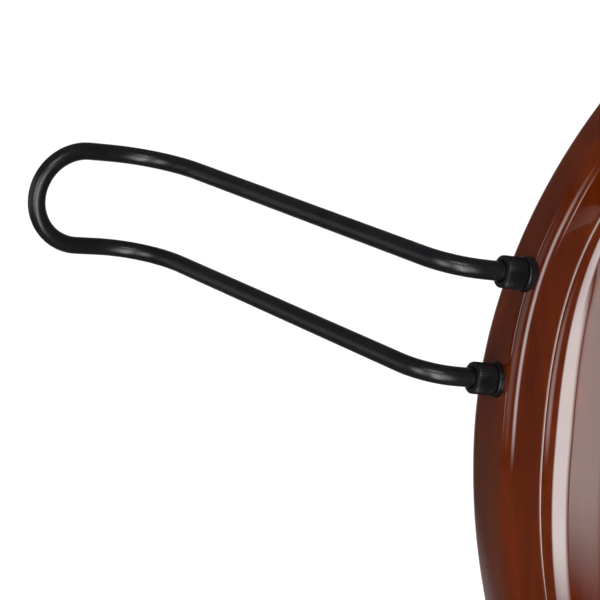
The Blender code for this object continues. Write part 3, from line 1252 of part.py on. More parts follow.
def build_neck_joint(body, neck):
    """A back plate and four bolts that hold the heel in its pocket."""
    wide, thick, tall = JOINT_PLATE
    middle_z = Z_TOP - HEEL_LENGTH / 2
    low = Vector((-wide / 2, Y_BACK + GAP, middle_z - tall / 2))
    joint_plate = box("neck_plate", low, low + Vector(JOINT_PLATE), "black_steel")
    face = Y_BACK + GAP + thick + GAP
    long = face - Y_HEEL + BOLT_BITE
    for name, sx, sz in (("lower_left", -1, -1), ("lower_right", 1, -1), ("upper_right", 1, 1),
                         ("upper_left", -1, 1)):
        x, z = sx * (wide / 2 - BOLT_INSET), middle_z + sz * (tall / 2 - BOLT_INSET)
        bolt = turned_screw(f"neck_bolt_{name}", long, BOLT_RADIUS, BOLT_HEAD, BOLT_HEAD_THICK, 12)
        bolt.matrix_world = facing((x, face, z), (0, 1, 0), (0, 0, 1))
        for target in (joint_plate, body, neck):
            hole = cylinder(f"cut_bolt_{name}_{target.name}", BOLT_RADIUS + GAP, (x, face + CUT, z),
                            (x, face - long - GAP * 2, z), sides=12)
            cut(target, hole)


def build():
    body = place("body", body_mesh(), "lacquered_maple")
    build_body_rest(body)
    build_endpin(body)
    neck, nut = build_neck(body)
    build_head(neck)
    build_machines()
    build_bridge()
    build_tail(body)
    build_strings(nut)
    build_pickup(body)
    build_controls(body)
    build_battery(body)
    build_neck_joint(body, neck)


build()
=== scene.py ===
"""Looks of the electric upright bass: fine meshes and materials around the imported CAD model.

Metres, +Z up the neck, front facing -Y, origin under the endpin. Sizes repeat the CAD model's.
"""

import json
import math

import bmesh
import bpy
import numpy as np
from mathutils import Matrix, Vector
from mathutils.geometry import interpolate_bezier
from mathutils.kdtree import KDTree


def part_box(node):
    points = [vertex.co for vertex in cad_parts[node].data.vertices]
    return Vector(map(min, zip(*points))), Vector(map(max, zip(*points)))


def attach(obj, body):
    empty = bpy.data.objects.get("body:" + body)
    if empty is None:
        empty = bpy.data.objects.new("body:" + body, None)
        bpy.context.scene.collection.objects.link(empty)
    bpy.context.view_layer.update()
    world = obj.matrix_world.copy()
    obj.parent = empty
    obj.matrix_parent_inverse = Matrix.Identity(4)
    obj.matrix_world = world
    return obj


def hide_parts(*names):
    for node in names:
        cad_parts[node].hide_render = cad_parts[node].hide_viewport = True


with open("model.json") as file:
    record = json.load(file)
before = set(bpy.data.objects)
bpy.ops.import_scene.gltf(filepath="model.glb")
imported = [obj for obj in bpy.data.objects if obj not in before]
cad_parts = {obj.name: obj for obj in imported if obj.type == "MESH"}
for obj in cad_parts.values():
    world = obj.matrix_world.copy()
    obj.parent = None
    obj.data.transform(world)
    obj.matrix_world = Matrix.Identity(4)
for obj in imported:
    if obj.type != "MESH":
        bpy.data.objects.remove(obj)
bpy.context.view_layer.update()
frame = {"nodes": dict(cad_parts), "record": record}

MM = 0.001
GAP = 0.3 * MM

# ---- Body sizes, as in the CAD model ----------------------------------------------------------
Z_BOTTOM = 150 * MM
BODY_LENGTH = 890 * MM
UPPER_HALF = 115 * MM
BOUT_RADIUS = 275 * MM
NECK_END_HALF = 30 * MM
NECK_CORNER = 16 * MM
WAIST_HALF = 86 * MM
WAIST_UP = 480 * MM
LOWER_HALF = 130 * MM
LOWER_UP = 210 * MM
BOTTOM_FLAT = 75 * MM
BODY_DEPTH = 44 * MM
BACK_EDGE = 7 * MM
FRONT_EDGE = 10 * MM
VALLEY_WIDTH = 16 * MM
VALLEY_DEPTH = 1.6 * MM
ARCH_RUN = 62 * MM
ARCH_HEIGHT = 15 * MM
FRONT_TAPER = 12 * MM
TAPER_RUN = 115 * MM
BOUT_FULLNESS = 1.3
INTO_SHARE = 0.38

# ---- Body rest sizes, as in the CAD model -----------------------------------------------------
REST_PLACE = math.radians(14)
REST_TILT = math.radians(11.5)
ROD_RADIUS = 5 * MM
LEG_SPACING = 56 * MM
LEG_STUB = 9 * MM
FIRST_BEND = math.radians(63)
FIRST_RADIUS = 28.5 * MM
LEG_STRAIGHT = 170 * MM
SECOND_BEND = math.radians(76)
SECOND_RADIUS = 41.5 * MM
LOOP_STUB = 13 * MM
LEG_IN_SOCKET = 28 * MM
NUT_LENGTH = 11.5 * MM
NUT_RADIUS = 8.2 * MM
NUT_LIP = 2 * MM
FLANGE_RADIUS = 8.8 * MM
FLANGE_THICK = 4 * MM
FLANGE_SUNK = 1.4 * MM
SOCKET_BORE = ROD_RADIUS + GAP
SOCKET_NECK = SOCKET_BORE + 1 * MM
SOCKET_BARREL = SOCKET_BORE + 2 * MM
SOCKET_END = LEG_IN_SOCKET + 2 * MM
COLLET_LENGTH = 3 * MM

# ---- Worked out from the sizes above ----------------------------------------------------------
Z_TOP = Z_BOTTOM + BODY_LENGTH
Z_WAIST = Z_BOTTOM + WAIST_UP
Z_LOWER = Z_BOTTOM + LOWER_UP
Y_FRONT = -BODY_DEPTH / 2
Y_BACK = BODY_DEPTH / 2
BOUT_X = UPPER_HALF - BOUT_RADIUS
Z_UPPER = Z_TOP - NECK_CORNER - math.sqrt((BOUT_RADIUS - NECK_CORNER) ** 2 - (NECK_END_HALF - BOUT_X) ** 2)


# ==== Materials ================================================================================

def new_material(name):
    made = bpy.data.materials.new(name)
    made.use_nodes = True
    tree = made.node_tree
    return made, tree.nodes, tree.links, tree.nodes["Principled BSDF"]


def noise(nodes, links, scale, stretch=(1, 1, 1), detail=4, roughness=0.55):
    """Noise over the object's own coordinates, in cells per metre."""
    place = nodes.new("ShaderNodeTexCoord")
    mapping = nodes.new("ShaderNodeMapping")
    mapping.inputs["Scale"].default_value = stretch
    links.new(place.outputs["Object"], mapping.inputs["Vector"])
    made = nodes.new("ShaderNodeTexNoise")
    made.inputs["Scale"].default_value = scale
    made.inputs["Detail"].default_value = detail
    made.inputs["Roughness"].default_value = roughness
    links.new(mapping.outputs["Vector"], made.inputs["Vector"])
    return made.outputs["Fac"]


def ramp(nodes, links, factor, stops):
    """Colour ramp from (position, rgb) stops."""
    made = nodes.new("ShaderNodeValToRGB")
    elements = made.color_ramp.elements
    while len(elements) < len(stops):
        elements.new(0.5)
    for element, (position, color) in zip(elements, stops):
        element.position = position
        element.color = (*color, 1)
    links.new(factor, made.inputs["Fac"])
    return made.outputs["Color"]


def spread(nodes, links, factor, low, high):
    """Maps a 0.25 to 0.75 noise onto low to high."""
    made = nodes.new("ShaderNodeMapRange")
    made.inputs["From Min"].default_value = 0.25
    made.inputs["From Max"].default_value = 0.75
    made.inputs["To Min"].default_value = low
    made.inputs["To Max"].default_value = high
    links.new(factor, made.inputs["Value"])
    return made.outputs["Result"]


def bump(nodes, links, height, strength, distance):
    made = nodes.new("ShaderNodeBump")
    made.inputs["Strength"].default_value = strength
    made.inputs["Distance"].default_value = distance
    links.new(height, made.inputs["Height"])
    return made.outputs["Normal"]


def plain_finish(name, dark, light, rough, metallic=0.0, grain=900, relief=0.06, specular=0.5, coat=0.0,
                 coat_rough=0.1):
    """Coated metal, plastic or rubber: two close tones, uneven gloss and a fine surface grain."""
    made, nodes, links, shader = new_material(name)
    tone = noise(nodes, links, 60, detail=3)
    fine = noise(nodes, links, grain, detail=2)
    links.new(ramp(nodes, links, tone, ((0.3, dark), (0.7, light))), shader.inputs["Base Color"])
    links.new(spread(nodes, links, fine, rough * 0.88, rough * 1.12), shader.inputs["Roughness"])
    links.new(bump(nodes, links, fine, relief, 0.05 * MM), shader.inputs["Normal"])
    shader.inputs["Metallic"].default_value = metallic
    shader.inputs["Specular IOR Level"].default_value = specular
    shader.inputs["Coat Weight"].default_value = coat
    shader.inputs["Coat Roughness"].default_value = coat_rough
    return made


def wood(name, stops, grain_stretch, rough, coat, coat_rough, figure=0.0, relief=0.1,
         specular=0.5):
    """Wood with its grain along Z: stretched noise, pores, and a cross-grain figure under a coat."""
    made, nodes, links, shader = new_material(name)
    grain = noise(nodes, links, 9, grain_stretch, detail=8, roughness=0.62)
    fibre = noise(nodes, links, 60, grain_stretch, detail=3)
    color = ramp(nodes, links, grain, stops)
    if figure:
        curl = noise(nodes, links, 22, (1.6, 1.6, 4.5), detail=2, roughness=0.4)
        shade = spread(nodes, links, curl, 1 - figure, 1 + figure)
        mixed = nodes.new("ShaderNodeVectorMath")
        mixed.operation = "SCALE"
        links.new(color, mixed.inputs[0])
        links.new(shade, mixed.inputs["Scale"])
        color = mixed.outputs["Vector"]
    links.new(color, shader.inputs["Base Color"])
    links.new(spread(nodes, links, fibre, rough * 0.85, rough * 1.15), shader.inputs["Roughness"])
    links.new(bump(nodes, links, fibre, relief, 0.1 * MM), shader.inputs["Normal"])
    shader.inputs["Specular IOR Level"].default_value = specular
    shader.inputs["Coat Weight"].default_value = coat
    shader.inputs["Coat Roughness"].default_value = coat_rough
    shader.inputs["Coat IOR"].default_value = 1.55
    return made


MATERIALS = {
    "lacquered_maple": wood(
        "lacquered_maple", ((0.25, (0.034, 0.0040, 0.0008)), (0.5, (0.060, 0.0082, 0.0011)),
                            (0.75, (0.086, 0.0142, 0.0016))), (7, 7, 0.5), 0.38, 1.0, 0.02, figure=0.08, relief=0.0,
        specular=0.0),
    "ebony": wood("ebony", ((0.3, (0.006, 0.005, 0.0045)), (0.6, (0.018, 0.014, 0.012)),
                            (0.8, (0.035, 0.026, 0.02))), (14, 14, 0.4), 0.36, 0.0, 0.1, relief=0.25),
    "bridge_maple": wood("bridge_maple", ((0.3, (0.42, 0.24, 0.10)), (0.7, (0.62, 0.41, 0.21))),
                         (12, 12, 0.6), 0.5, 0.0, 0.1, figure=0.05, relief=0.2),
    "black_steel": plain_finish("black_steel", (0.003, 0.0031, 0.0037), (0.006, 0.006, 0.0072), 0.28,
                                grain=2600, relief=0.012, specular=0.4),
    "black_plastic": plain_finish("black_plastic", (0.008, 0.008, 0.008), (0.014, 0.014, 0.014), 0.45, relief=0.2),
    "rubber": plain_finish("rubber", (0.010, 0.010, 0.010), (0.02, 0.019, 0.018), 0.8, relief=0.35, grain=500),
    "steel": plain_finish("steel", (0.52, 0.51, 0.5), (0.62, 0.61, 0.6), 0.22, metallic=1.0, relief=0.04),
    "nylon": plain_finish("nylon", (0.62, 0.6, 0.54), (0.7, 0.68, 0.62), 0.5),
    "board_green": plain_finish("board_green", (0.01, 0.07, 0.025), (0.02, 0.12, 0.045), 0.35),
    "battery_shell": plain_finish("battery_shell", (0.05, 0.055, 0.07), (0.09, 0.1, 0.12), 0.35, metallic=0.4),
}


# ==== Piece helpers ============================================================================

def add(name, mesh, material, body, *nodes, parent=None):
    """A visible piece that rides on a body, takes a record slot and stands for CAD nodes."""
    made = bpy.data.objects.new(name, mesh)
    bpy.context.scene.collection.objects.link(made)
    if not mesh.materials:
        mesh.materials.append(MATERIALS[material])
    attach(made, body)
    if nodes:
        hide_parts(*nodes)
    return made


def finish_mesh(bm, name, angle=35):
    bmesh.ops.recalc_face_normals(bm, faces=bm.faces)
    mesh = bpy.data.meshes.new(name)
    bm.to_mesh(mesh)
    bm.free()
    mesh.shade_smooth()
    mesh.set_sharp_from_angle(angle=math.radians(angle))
    return mesh


def skin(bm, rings, closed_ends=True):
    """Quads between rings of vertices; the ends are closed with one face each."""
    made = [[bm.verts.new(p) for p in ring] for ring in rings]
    count = len(made[0])
    for lower, upper in zip(made, made[1:]):
        for i in range(count):
            j = (i + 1) % count
            bm.faces.new((lower[i], lower[j], upper[j], upper[i]))
    if closed_ends:
        bm.faces.new(made[0])
        bm.faces.new(made[-1])
    return made


def facing(origin, outward, up):
    """Matrix with +Z along outward, +Y as near to up as it can be, and its origin there."""
    z = Vector(outward).normalized()
    x = Vector(up).cross(z).normalized()
    y = z.cross(x)
    return Matrix.Translation(origin) @ Matrix((x, y, z)).transposed().to_4x4()


def turned_mesh(name, profile, matrix, steps=96, angle=30, shape=None):
    """Revolves a closed (radius, height) profile; shape may change the radius by turn and height."""
    bm = bmesh.new()
    columns = []
    for step in range(steps):
        turn = 2 * math.pi * step / steps
        column = []
        for index, (radius, height) in enumerate(profile):
            if shape:
                radius = shape(index, step, radius)
            column.append(bm.verts.new(matrix @ Vector((radius * math.cos(turn), radius * math.sin(turn), height))))
        columns.append(column)
    count = len(profile)
    for step in range(steps):
        ahead = (step + 1) % steps
        for i in range(count):
            j = (i + 1) % count
            bm.faces.new((columns[step][i], columns[step][j], columns[ahead][j], columns[ahead][i]))
    bmesh.ops.remove_doubles(bm, verts=bm.verts, dist=0.000001)
    return finish_mesh(bm, name, angle)


def rounded(profile, radius, steps=4, skip=()):
    """A closed profile with each corner rounded by an arc-like curve."""
    count = len(profile)
    made = []
    for i, corner in enumerate(profile):
        here = Vector(corner)
        before, after = Vector(profile[i - 1]), Vector(profile[(i + 1) % count])
        size = min(radius, (before - here).length * 0.45, (after - here).length * 0.45)
        if i in skip or size <= 0:
            made.append(tuple(here))
            continue
        start = here + (before - here).normalized() * size
        end = here + (after - here).normalized() * size
        for step in range(steps + 1):
            share = step / steps
            spot = start.lerp(here, share).lerp(here.lerp(end, share), share)
            made.append(tuple(spot))
    return made


def tube_mesh(name, points, radius, sides=32, end_round=0.0):
    """A round bar along a smooth path, with softly rounded ends."""
    path = [Vector(p) for p in points]
    bm = bmesh.new()
    rings = []
    side = None
    for i, spot in enumerate(path):
        along = (path[min(i + 1, len(path) - 1)] - path[max(i - 1, 0)]).normalized()
        if side is None:
            side = along.orthogonal().normalized()
        side = (side - along * side.dot(along)).normalized()
        other = along.cross(side)
        steps = ((0.0, 1.0),)
        if end_round and i in (0, len(path) - 1):
            sign = -1 if i == 0 else 1
            steps = [(sign * end_round * math.sin(a), 1 - (end_round / radius) * (1 - math.cos(a)))
                     for a in (0, math.pi / 6, math.pi / 3, math.pi / 2)]
            if i == 0:
                steps.reverse()
            spot = spot - along * sign * end_round
        for shift, share in steps:
            rings.append([spot + along * shift + (side * math.cos(t) + other * math.sin(t)) * radius * share
                          for t in [2 * math.pi * k / sides for k in range(sides)]])
    skin(bm, rings)
    return finish_mesh(bm, name, 50)


def bool_cut(target, cutter_mesh, operation="DIFFERENCE", solver="EXACT"):
    """Cuts one mesh from a piece at once and drops the cutter."""
    cutter = bpy.data.objects.new("cutter", cutter_mesh)
    bpy.context.scene.collection.objects.link(cutter)
    modifier = target.modifiers.new("cut", "BOOLEAN")
    modifier.operation = operation
    modifier.solver = solver
    modifier.object = cutter
    bpy.context.view_layer.update()
    mesh = bpy.data.meshes.new_from_object(target.evaluated_get(bpy.context.evaluated_depsgraph_get()))
    target.modifiers.clear()
    old = target.data
    target.data = mesh
    bpy.data.meshes.remove(old)
    bpy.data.objects.remove(cutter, do_unlink=True)


def carve(body, cutter_mesh):
    """Cuts from the body, whose dense closed mesh suits the manifold solver."""
    bool_cut(body, cutter_mesh, solver="MANIFOLD")


# ==== Camera, light and floor ==================================================================

LEG_OUT = Vector((-math.cos(REST_TILT), 0, math.sin(REST_TILT)))
REST_SEAT = (Vector((-BOUT_X, 0, Z_UPPER))
             + Vector((-math.cos(REST_PLACE), 0, math.sin(REST_PLACE))) * BOUT_RADIUS)
SEAT = facing(REST_SEAT, LEG_OUT, (0, 0, 1))


def leg_seat(side):
    """Where a leg's line meets the side's arc, along the leg from the seat's middle."""
    lean = REST_PLACE - REST_TILT
    across = side * LEG_SPACING / 2 + BOUT_RADIUS * math.sin(lean)
    return math.sqrt(BOUT_RADIUS ** 2 - across ** 2) - BOUT_RADIUS * math.cos(lean)


FLANGE_OUT = FLANGE_THICK - FLANGE_SUNK
NUT_INNER = FLANGE_OUT + GAP
NUT_OUTER = NUT_INNER + NUT_LENGTH
NUT_PLANE = NUT_OUTER + (leg_seat(1) + leg_seat(-1)) / 2

VIEW_AZIMUTH = math.radians(18.51)      # camera stands this far round to the left of the front
VIEW_ELEVATION = math.radians(18.26)
VIEW_DISTANCE = 655.5 * MM
VIEW_OFFSET = Vector((-86.2, 32.9, 11.8)) * MM    # from the middle of the two nuts' faces
LENS = 79.2


def build_camera():
    data = bpy.data.cameras.new("camera")
    data.lens = LENS
    data.sensor_width = 36
    data.clip_start = 0.01
    data.clip_end = 200
    camera = bpy.data.objects.new("camera", data)
    bpy.context.scene.collection.objects.link(camera)
    look_at = REST_SEAT + LEG_OUT * NUT_PLANE + VIEW_OFFSET
    away = Vector((-math.sin(VIEW_AZIMUTH) * math.cos(VIEW_ELEVATION),
                   -math.cos(VIEW_AZIMUTH) * math.cos(VIEW_ELEVATION), math.sin(VIEW_ELEVATION)))
    camera.location = look_at + away * VIEW_DISTANCE
    camera.rotation_euler = (math.pi / 2 - VIEW_ELEVATION, 0, -VIEW_AZIMUTH)
    bpy.context.scene.camera = camera


def softbox(name, place, aim, size, glow, color=(1, 1, 1), soft=0.5):
    """A glowing panel that fades out towards its edges; soft is the share of each half that fades."""
    wide, tall = size
    bm = bmesh.new()
    bmesh.ops.create_grid(bm, x_segments=1, y_segments=1, size=0.5)
    bmesh.ops.scale(bm, vec=(wide, tall, 1), verts=bm.verts)
    made = bpy.data.objects.new(name, finish_mesh(bm, name))
    bpy.context.scene.collection.objects.link(made)
    made.location = place
    made.rotation_euler = (Vector(aim) - Vector(place)).to_track_quat("-Z", "Y").to_euler()
    made.visible_camera = False
    material = bpy.data.materials.new(name)
    material.use_nodes = True
    nodes, links = material.node_tree.nodes, material.node_tree.links
    nodes.clear()
    place_node = nodes.new("ShaderNodeTexCoord")
    split = nodes.new("ShaderNodeSeparateXYZ")
    links.new(place_node.outputs["Object"], split.inputs["Vector"])
    strength = None
    for axis, length in (("X", wide), ("Y", tall)):
        distance = nodes.new("ShaderNodeMath")
        distance.operation = "ABSOLUTE"
        links.new(split.outputs[axis], distance.inputs[0])
        fade = nodes.new("ShaderNodeMapRange")
        fade.interpolation_type = "SMOOTHSTEP"
        fade.inputs["From Min"].default_value = length / 2
        fade.inputs["From Max"].default_value = length / 2 * (1 - soft)
        fade.inputs["To Min"].default_value = 0
        fade.inputs["To Max"].default_value = glow if strength is None else 1
        links.new(distance.outputs["Value"], fade.inputs["Value"])
        if strength is None:
            strength = fade.outputs["Result"]
        else:
            both = nodes.new("ShaderNodeMath")
            both.operation = "MULTIPLY"
            links.new(strength, both.inputs[0])
            links.new(fade.outputs["Result"], both.inputs[1])
            strength = both.outputs["Value"]
    glow_node = nodes.new("ShaderNodeEmission")
    glow_node.inputs["Color"].default_value = (*color, 1)
    links.new(strength, glow_node.inputs["Strength"])
    output = nodes.new("ShaderNodeOutputMaterial")
    links.new(glow_node.outputs["Emission"], output.inputs["Surface"])
    made.data.materials.append(material)
    return made


def toward(azimuth, elevation, distance):
    """A place seen from the upper bout; azimuth 0 is straight ahead of the front, positive to the right."""
    a, e = math.radians(azimuth), math.radians(elevation)
    away = Vector((math.sin(a) * math.cos(e), -math.cos(a) * math.cos(e), math.sin(e)))
    return BOUT_PLACE + away * distance


STUDIO_BACK = (0.30, 0.90, -0.31)      # the way to the bright sweep behind the object


def build_world():
    """White to the eye; to the object, a studio that is bright behind and dark in front."""
    world = bpy.data.worlds.new("studio")
    bpy.context.scene.world = world
    world.use_nodes = True
    nodes, links = world.node_tree.nodes, world.node_tree.links
    back = nodes["Background"]
    place = nodes.new("ShaderNodeTexCoord")
    behind = nodes.new("ShaderNodeVectorMath")
    behind.operation = "DOT_PRODUCT"
    behind.inputs[1].default_value = STUDIO_BACK
    links.new(place.outputs["Generated"], behind.inputs[0])
    fade = nodes.new("ShaderNodeMapRange")
    fade.interpolation_type = "SMOOTHSTEP"
    fade.inputs["From Min"].default_value = 0.80
    fade.inputs["From Max"].default_value = 0.97
    fade.inputs["To Min"].default_value = 0.10
    fade.inputs["To Max"].default_value = 0.90
    links.new(behind.outputs["Value"], fade.inputs["Value"])
    seen = nodes.new("ShaderNodeLightPath")
    mix = nodes.new("ShaderNodeMix")
    mix.data_type = "FLOAT"
    links.new(seen.outputs["Is Camera Ray"], mix.inputs["Factor"])
    links.new(fade.outputs["Result"], mix.inputs["A"])
    mix.inputs["B"].default_value = 1.0
    links.new(mix.outputs["Result"], back.inputs["Strength"])
    back.inputs["Color"].default_value = (1, 1, 1, 1)


def build_floor():
    bm = bmesh.new()
    bmesh.ops.create_grid(bm, x_segments=1, y_segments=1, size=40)
    floor = bpy.data.objects.new("floor", finish_mesh(bm, "floor"))
    bpy.context.scene.collection.objects.link(floor)
    made, nodes, links, shader = new_material("floor")
    links.new(ramp(nodes, links, noise(nodes, links, 3), ((0.3, (0.86, 0.86, 0.86)), (0.7, (0.9, 0.9, 0.9)))),
              shader.inputs["Base Color"])
    shader.inputs["Roughness"].default_value = 0.9
    shader.inputs["Specular IOR Level"].default_value = 0.1
    floor.data.materials.append(made)
    floor.visible_glossy = False


BOUT_PLACE = Vector((-0.1, 0, 0.88))


def build_lights():
    softbox("edge_panel", toward(-50, 4, 2.0), BOUT_PLACE, (0.9, 2.6), 7, soft=0.8)
    softbox("arch_panel", toward(-21, -12, 2.2), BOUT_PLACE, (0.54, 3.2), 11, soft=0.45)
    softbox("arch_fill", toward(-5, -8, 2.3), BOUT_PLACE, (1.1, 3.0), 4, soft=0.5)
    softbox("side_fill", toward(-92, 4, 2.4), BOUT_PLACE, (2.0, 2.8), 0.9, soft=0.8)
    softbox("back_panel", toward(-118, 4, 2.2), BOUT_PLACE, (0.22, 2.4), 4, soft=0.7)
    softbox("top_panel", toward(-14, 40, 2.0), BOUT_PLACE, (0.8, 0.35), 10, soft=0.1)
    data = bpy.data.lights.new("overhead", "SUN")
    data.energy = 3.6
    data.angle = math.radians(30)
    overhead = bpy.data.objects.new("overhead", data)
    bpy.context.scene.collection.objects.link(overhead)
    overhead.visible_glossy = False


# ==== Body =====================================================================================

def arc(centre, radius, start, end, steps):
    turn = (end - start) / steps
    return [(centre[0] + radius * math.cos(start + turn * i),
             centre[1] + radius * math.sin(start + turn * i)) for i in range(steps + 1)]


def bezier(start, handle_out, handle_in, end, steps):
    points = [Vector((*p, 0)) for p in (start, handle_out, handle_in, end)]
    return [(p.x, p.y) for p in interpolate_bezier(*points, steps + 1)]


def body_half_outline():
    """Right half of the body's outline as (half width, height), from the neck end to the bottom."""
    corner = (NECK_END_HALF, Z_TOP - NECK_CORNER)
    bout = (BOUT_X, Z_UPPER)
    meet = math.atan2(corner[1] - bout[1], corner[0] - bout[0])
    drop_to_waist = UPPER_HALF - WAIST_HALF
    rise_to_lower = LOWER_HALF - WAIST_HALF
    out_of_bout = BOUT_FULLNESS * math.sqrt(2 / 3 * drop_to_waist * BOUT_RADIUS)
    into_waist = (Z_UPPER - Z_WAIST) * INTO_SHARE
    out_of_waist = into_waist * math.sqrt(rise_to_lower / drop_to_waist)
    into_lower = (Z_WAIST - Z_LOWER) * INTO_SHARE
    out_of_lower = into_lower * math.sqrt((LOWER_HALF - BOTTOM_FLAT) / rise_to_lower)
    points = [(0.0, Z_TOP)]
    points += arc(corner, NECK_CORNER, math.pi / 2, meet, 40)
    points += arc(bout, BOUT_RADIUS, meet, 0, 400)
    points += bezier((UPPER_HALF, Z_UPPER), (UPPER_HALF, Z_UPPER - out_of_bout),
                     (WAIST_HALF, Z_WAIST + into_waist), (WAIST_HALF, Z_WAIST), 300)
    points += bezier((WAIST_HALF, Z_WAIST), (WAIST_HALF, Z_WAIST - out_of_waist),
                     (LOWER_HALF, Z_LOWER + into_lower), (LOWER_HALF, Z_LOWER), 300)
    points += bezier((LOWER_HALF, Z_LOWER), (LOWER_HALF, Z_LOWER - out_of_lower),
                     (BOTTOM_FLAT, Z_BOTTOM), (0.0, Z_BOTTOM), 400)
    return points


def spaced(points, count):
    """Points resampled to count + 1 places at equal steps along the line."""
    line = np.array(points)
    run = np.concatenate(([0], np.cumsum(np.hypot(*np.diff(line, axis=0).T))))
    at = np.linspace(0, run[-1], count + 1)
    return list(zip(np.interp(at, run, line[:, 0]), np.interp(at, run, line[:, 1])))


HALF_OUTLINE = body_half_outline()
OUTLINE_COUNT = 300


def edge_finder():
    dense = spaced(HALF_OUTLINE, 6000)
    tree = KDTree(len(dense))
    for index, (x, z) in enumerate(dense):
        tree.insert((x, 0, z), index)
    tree.balance()
    return tree


EDGE = edge_finder()


EDGE_TILT = 27          # degrees that the front edge still faces outwards where the channel starts
EDGE_RUN = FRONT_EDGE * (1 - math.sin(math.radians(EDGE_TILT)))
TABLE_STEP = 0.05 * MM
# The channel faces inwards, then turns up steeply at the arch's foot: distance in, degrees outwards.
ARCH_TILTS = ((EDGE_RUN, -4), (18.8 * MM, 3), (20.2 * MM, 35), (21.6 * MM, 38),
              (23.6 * MM, 31), (28 * MM, 24), (38 * MM, 17), (80 * MM, 0))


def edge_depth(distance):
    """Depth of the rounded front edge at a distance in from the outline."""
    return Y_FRONT + FRONT_EDGE - math.sqrt(FRONT_EDGE ** 2 - (FRONT_EDGE - distance) ** 2)


def front_table():
    """Depth of the front against the distance in from the outline, by summing slopes."""
    at = np.arange(EDGE_RUN, 85 * MM, TABLE_STEP)
    knots, tilts = zip(*ARCH_TILTS)
    window = np.hanning(17)
    padded = np.pad(np.interp(at, knots, tilts), 8, mode="edge")
    slope = np.tan(np.radians(np.convolve(padded, window / window.sum(), mode="valid")))
    depth = edge_depth(EDGE_RUN) - (np.cumsum(slope) - slope[0]) * TABLE_STEP
    flat = np.interp(28 * MM, at, depth)
    stretch = (Y_FRONT - ARCH_HEIGHT - flat) / (depth[-1] - flat)
    return at, np.where(at > 28 * MM, flat + (depth - flat) * stretch, depth)


FRONT_AT, FRONT_DEPTH = front_table()


def front_y(distance):
    """Depth of the front at a distance in from the outline: edge radius, channel, then arching."""
    if distance < EDGE_RUN:
        return edge_depth(distance)
    return float(np.interp(distance, FRONT_AT, FRONT_DEPTH))


def front_taper(z):
    """How far the front has come back at a height, from the upper bout's widest point up."""
    share = max(0.0, min(1.0, (z - Z_UPPER) / TAPER_RUN))
    return FRONT_TAPER * share * share * (3 - 2 * share)


def front_surface(x, z):
    _, _, distance = EDGE.find((abs(x), 0, z))
    return front_y(distance) + front_taper(z)


def body_mesh():
    half = spaced(HALF_OUTLINE, OUTLINE_COUNT)
    loop = [Vector(p) for p in half] + [Vector((-x, z)) for x, z in reversed(half[1:-1])]
    count = len(loop)
    inward = []
    for i in range(count):
        along = (loop[(i + 1) % count] - loop[i - 1]).normalized()
        inward.append(Vector((-along.y, along.x)) * (-1))
    if inward[count // 4].x > 0:
        inward = [-n for n in inward]
    spine_low, spine_high = Z_BOTTOM + LOWER_HALF, Z_TOP - NECK_END_HALF - NECK_CORNER
    rings = []
    for step in range(9):
        angle = math.pi / 2 * step / 8
        rings.append([(p.x + n.x * BACK_EDGE * (1 - math.sin(angle)), Y_BACK - BACK_EDGE * (1 - math.cos(angle)),
                       p.y + n.y * BACK_EDGE * (1 - math.sin(angle))) for p, n in zip(loop, inward)])
    edge_turn = math.radians(90 - EDGE_TILT)
    for step in range(10):
        angle = edge_turn * step / 9
        ring = []
        for p, n in zip(loop, inward):
            spot = p + n * FRONT_EDGE * (1 - math.cos(angle))
            ring.append((spot.x, Y_FRONT + FRONT_EDGE * (1 - math.sin(angle)) + front_taper(spot.y), spot.y))
        rings.append(ring)
    reach = FRONT_EDGE * (1 - math.cos(edge_turn))
    near = list(np.linspace(reach, 19 * MM, 12)[1:]) + list(np.linspace(19 * MM, 26 * MM, 13)[1:])
    for distance in near:
        ring = []
        for p, n in zip(loop, inward):
            spot = p + n * distance
            ring.append((spot.x, front_y(distance) + front_taper(spot.y), spot.y))
        rings.append(ring)
    steps = 34
    for step in range(1, steps + 1):
        share = (step / steps) ** 1.35
        ring = []
        for p, n in zip(loop, inward):
            edge = p + n * near[-1]
            spine = Vector((0, max(spine_low, min(spine_high, p.y))))
            spot = edge.lerp(spine, share)
            ring.append((spot.x, front_surface(spot.x, spot.y), spot.y))
        rings.append(ring)
    bm = bmesh.new()
    made = skin(bm, rings, closed_ends=False)
    bm.faces.new(made[0])
    bmesh.ops.remove_doubles(bm, verts=bm.verts, dist=0.00001)
    return finish_mesh(bm, "body_wood", 22)


def build_body():
    body = add("body_wood", body_mesh(), "lacquered_maple", "instrument", "body")
    for side in (1, -1):
        place = SEAT @ Matrix.Translation((0, side * LEG_SPACING / 2, leg_seat(side)))
        seat_hole = [(0, 8 * MM), (FLANGE_RADIUS + GAP, 8 * MM), (FLANGE_RADIUS + GAP, -FLANGE_SUNK - GAP),
                     (SOCKET_BARREL + GAP, -FLANGE_SUNK - GAP), (SOCKET_BARREL + GAP, -SOCKET_END - GAP),
                     (0, -SOCKET_END - GAP)]
        carve(body, turned_mesh("seat_hole", seat_hole, place))
    return body


# ==== Body rest ================================================================================

def bend(points, heading, turn, radius, steps):
    side = 1 if turn > 0 else -1
    x, y = points[-1]
    for i in range(1, steps + 1):
        angle = heading + turn * i / steps
        points.append((x + radius * side * (math.sin(angle) - math.sin(heading)),
                       y - radius * side * (math.cos(angle) - math.cos(heading))))
    return heading + turn


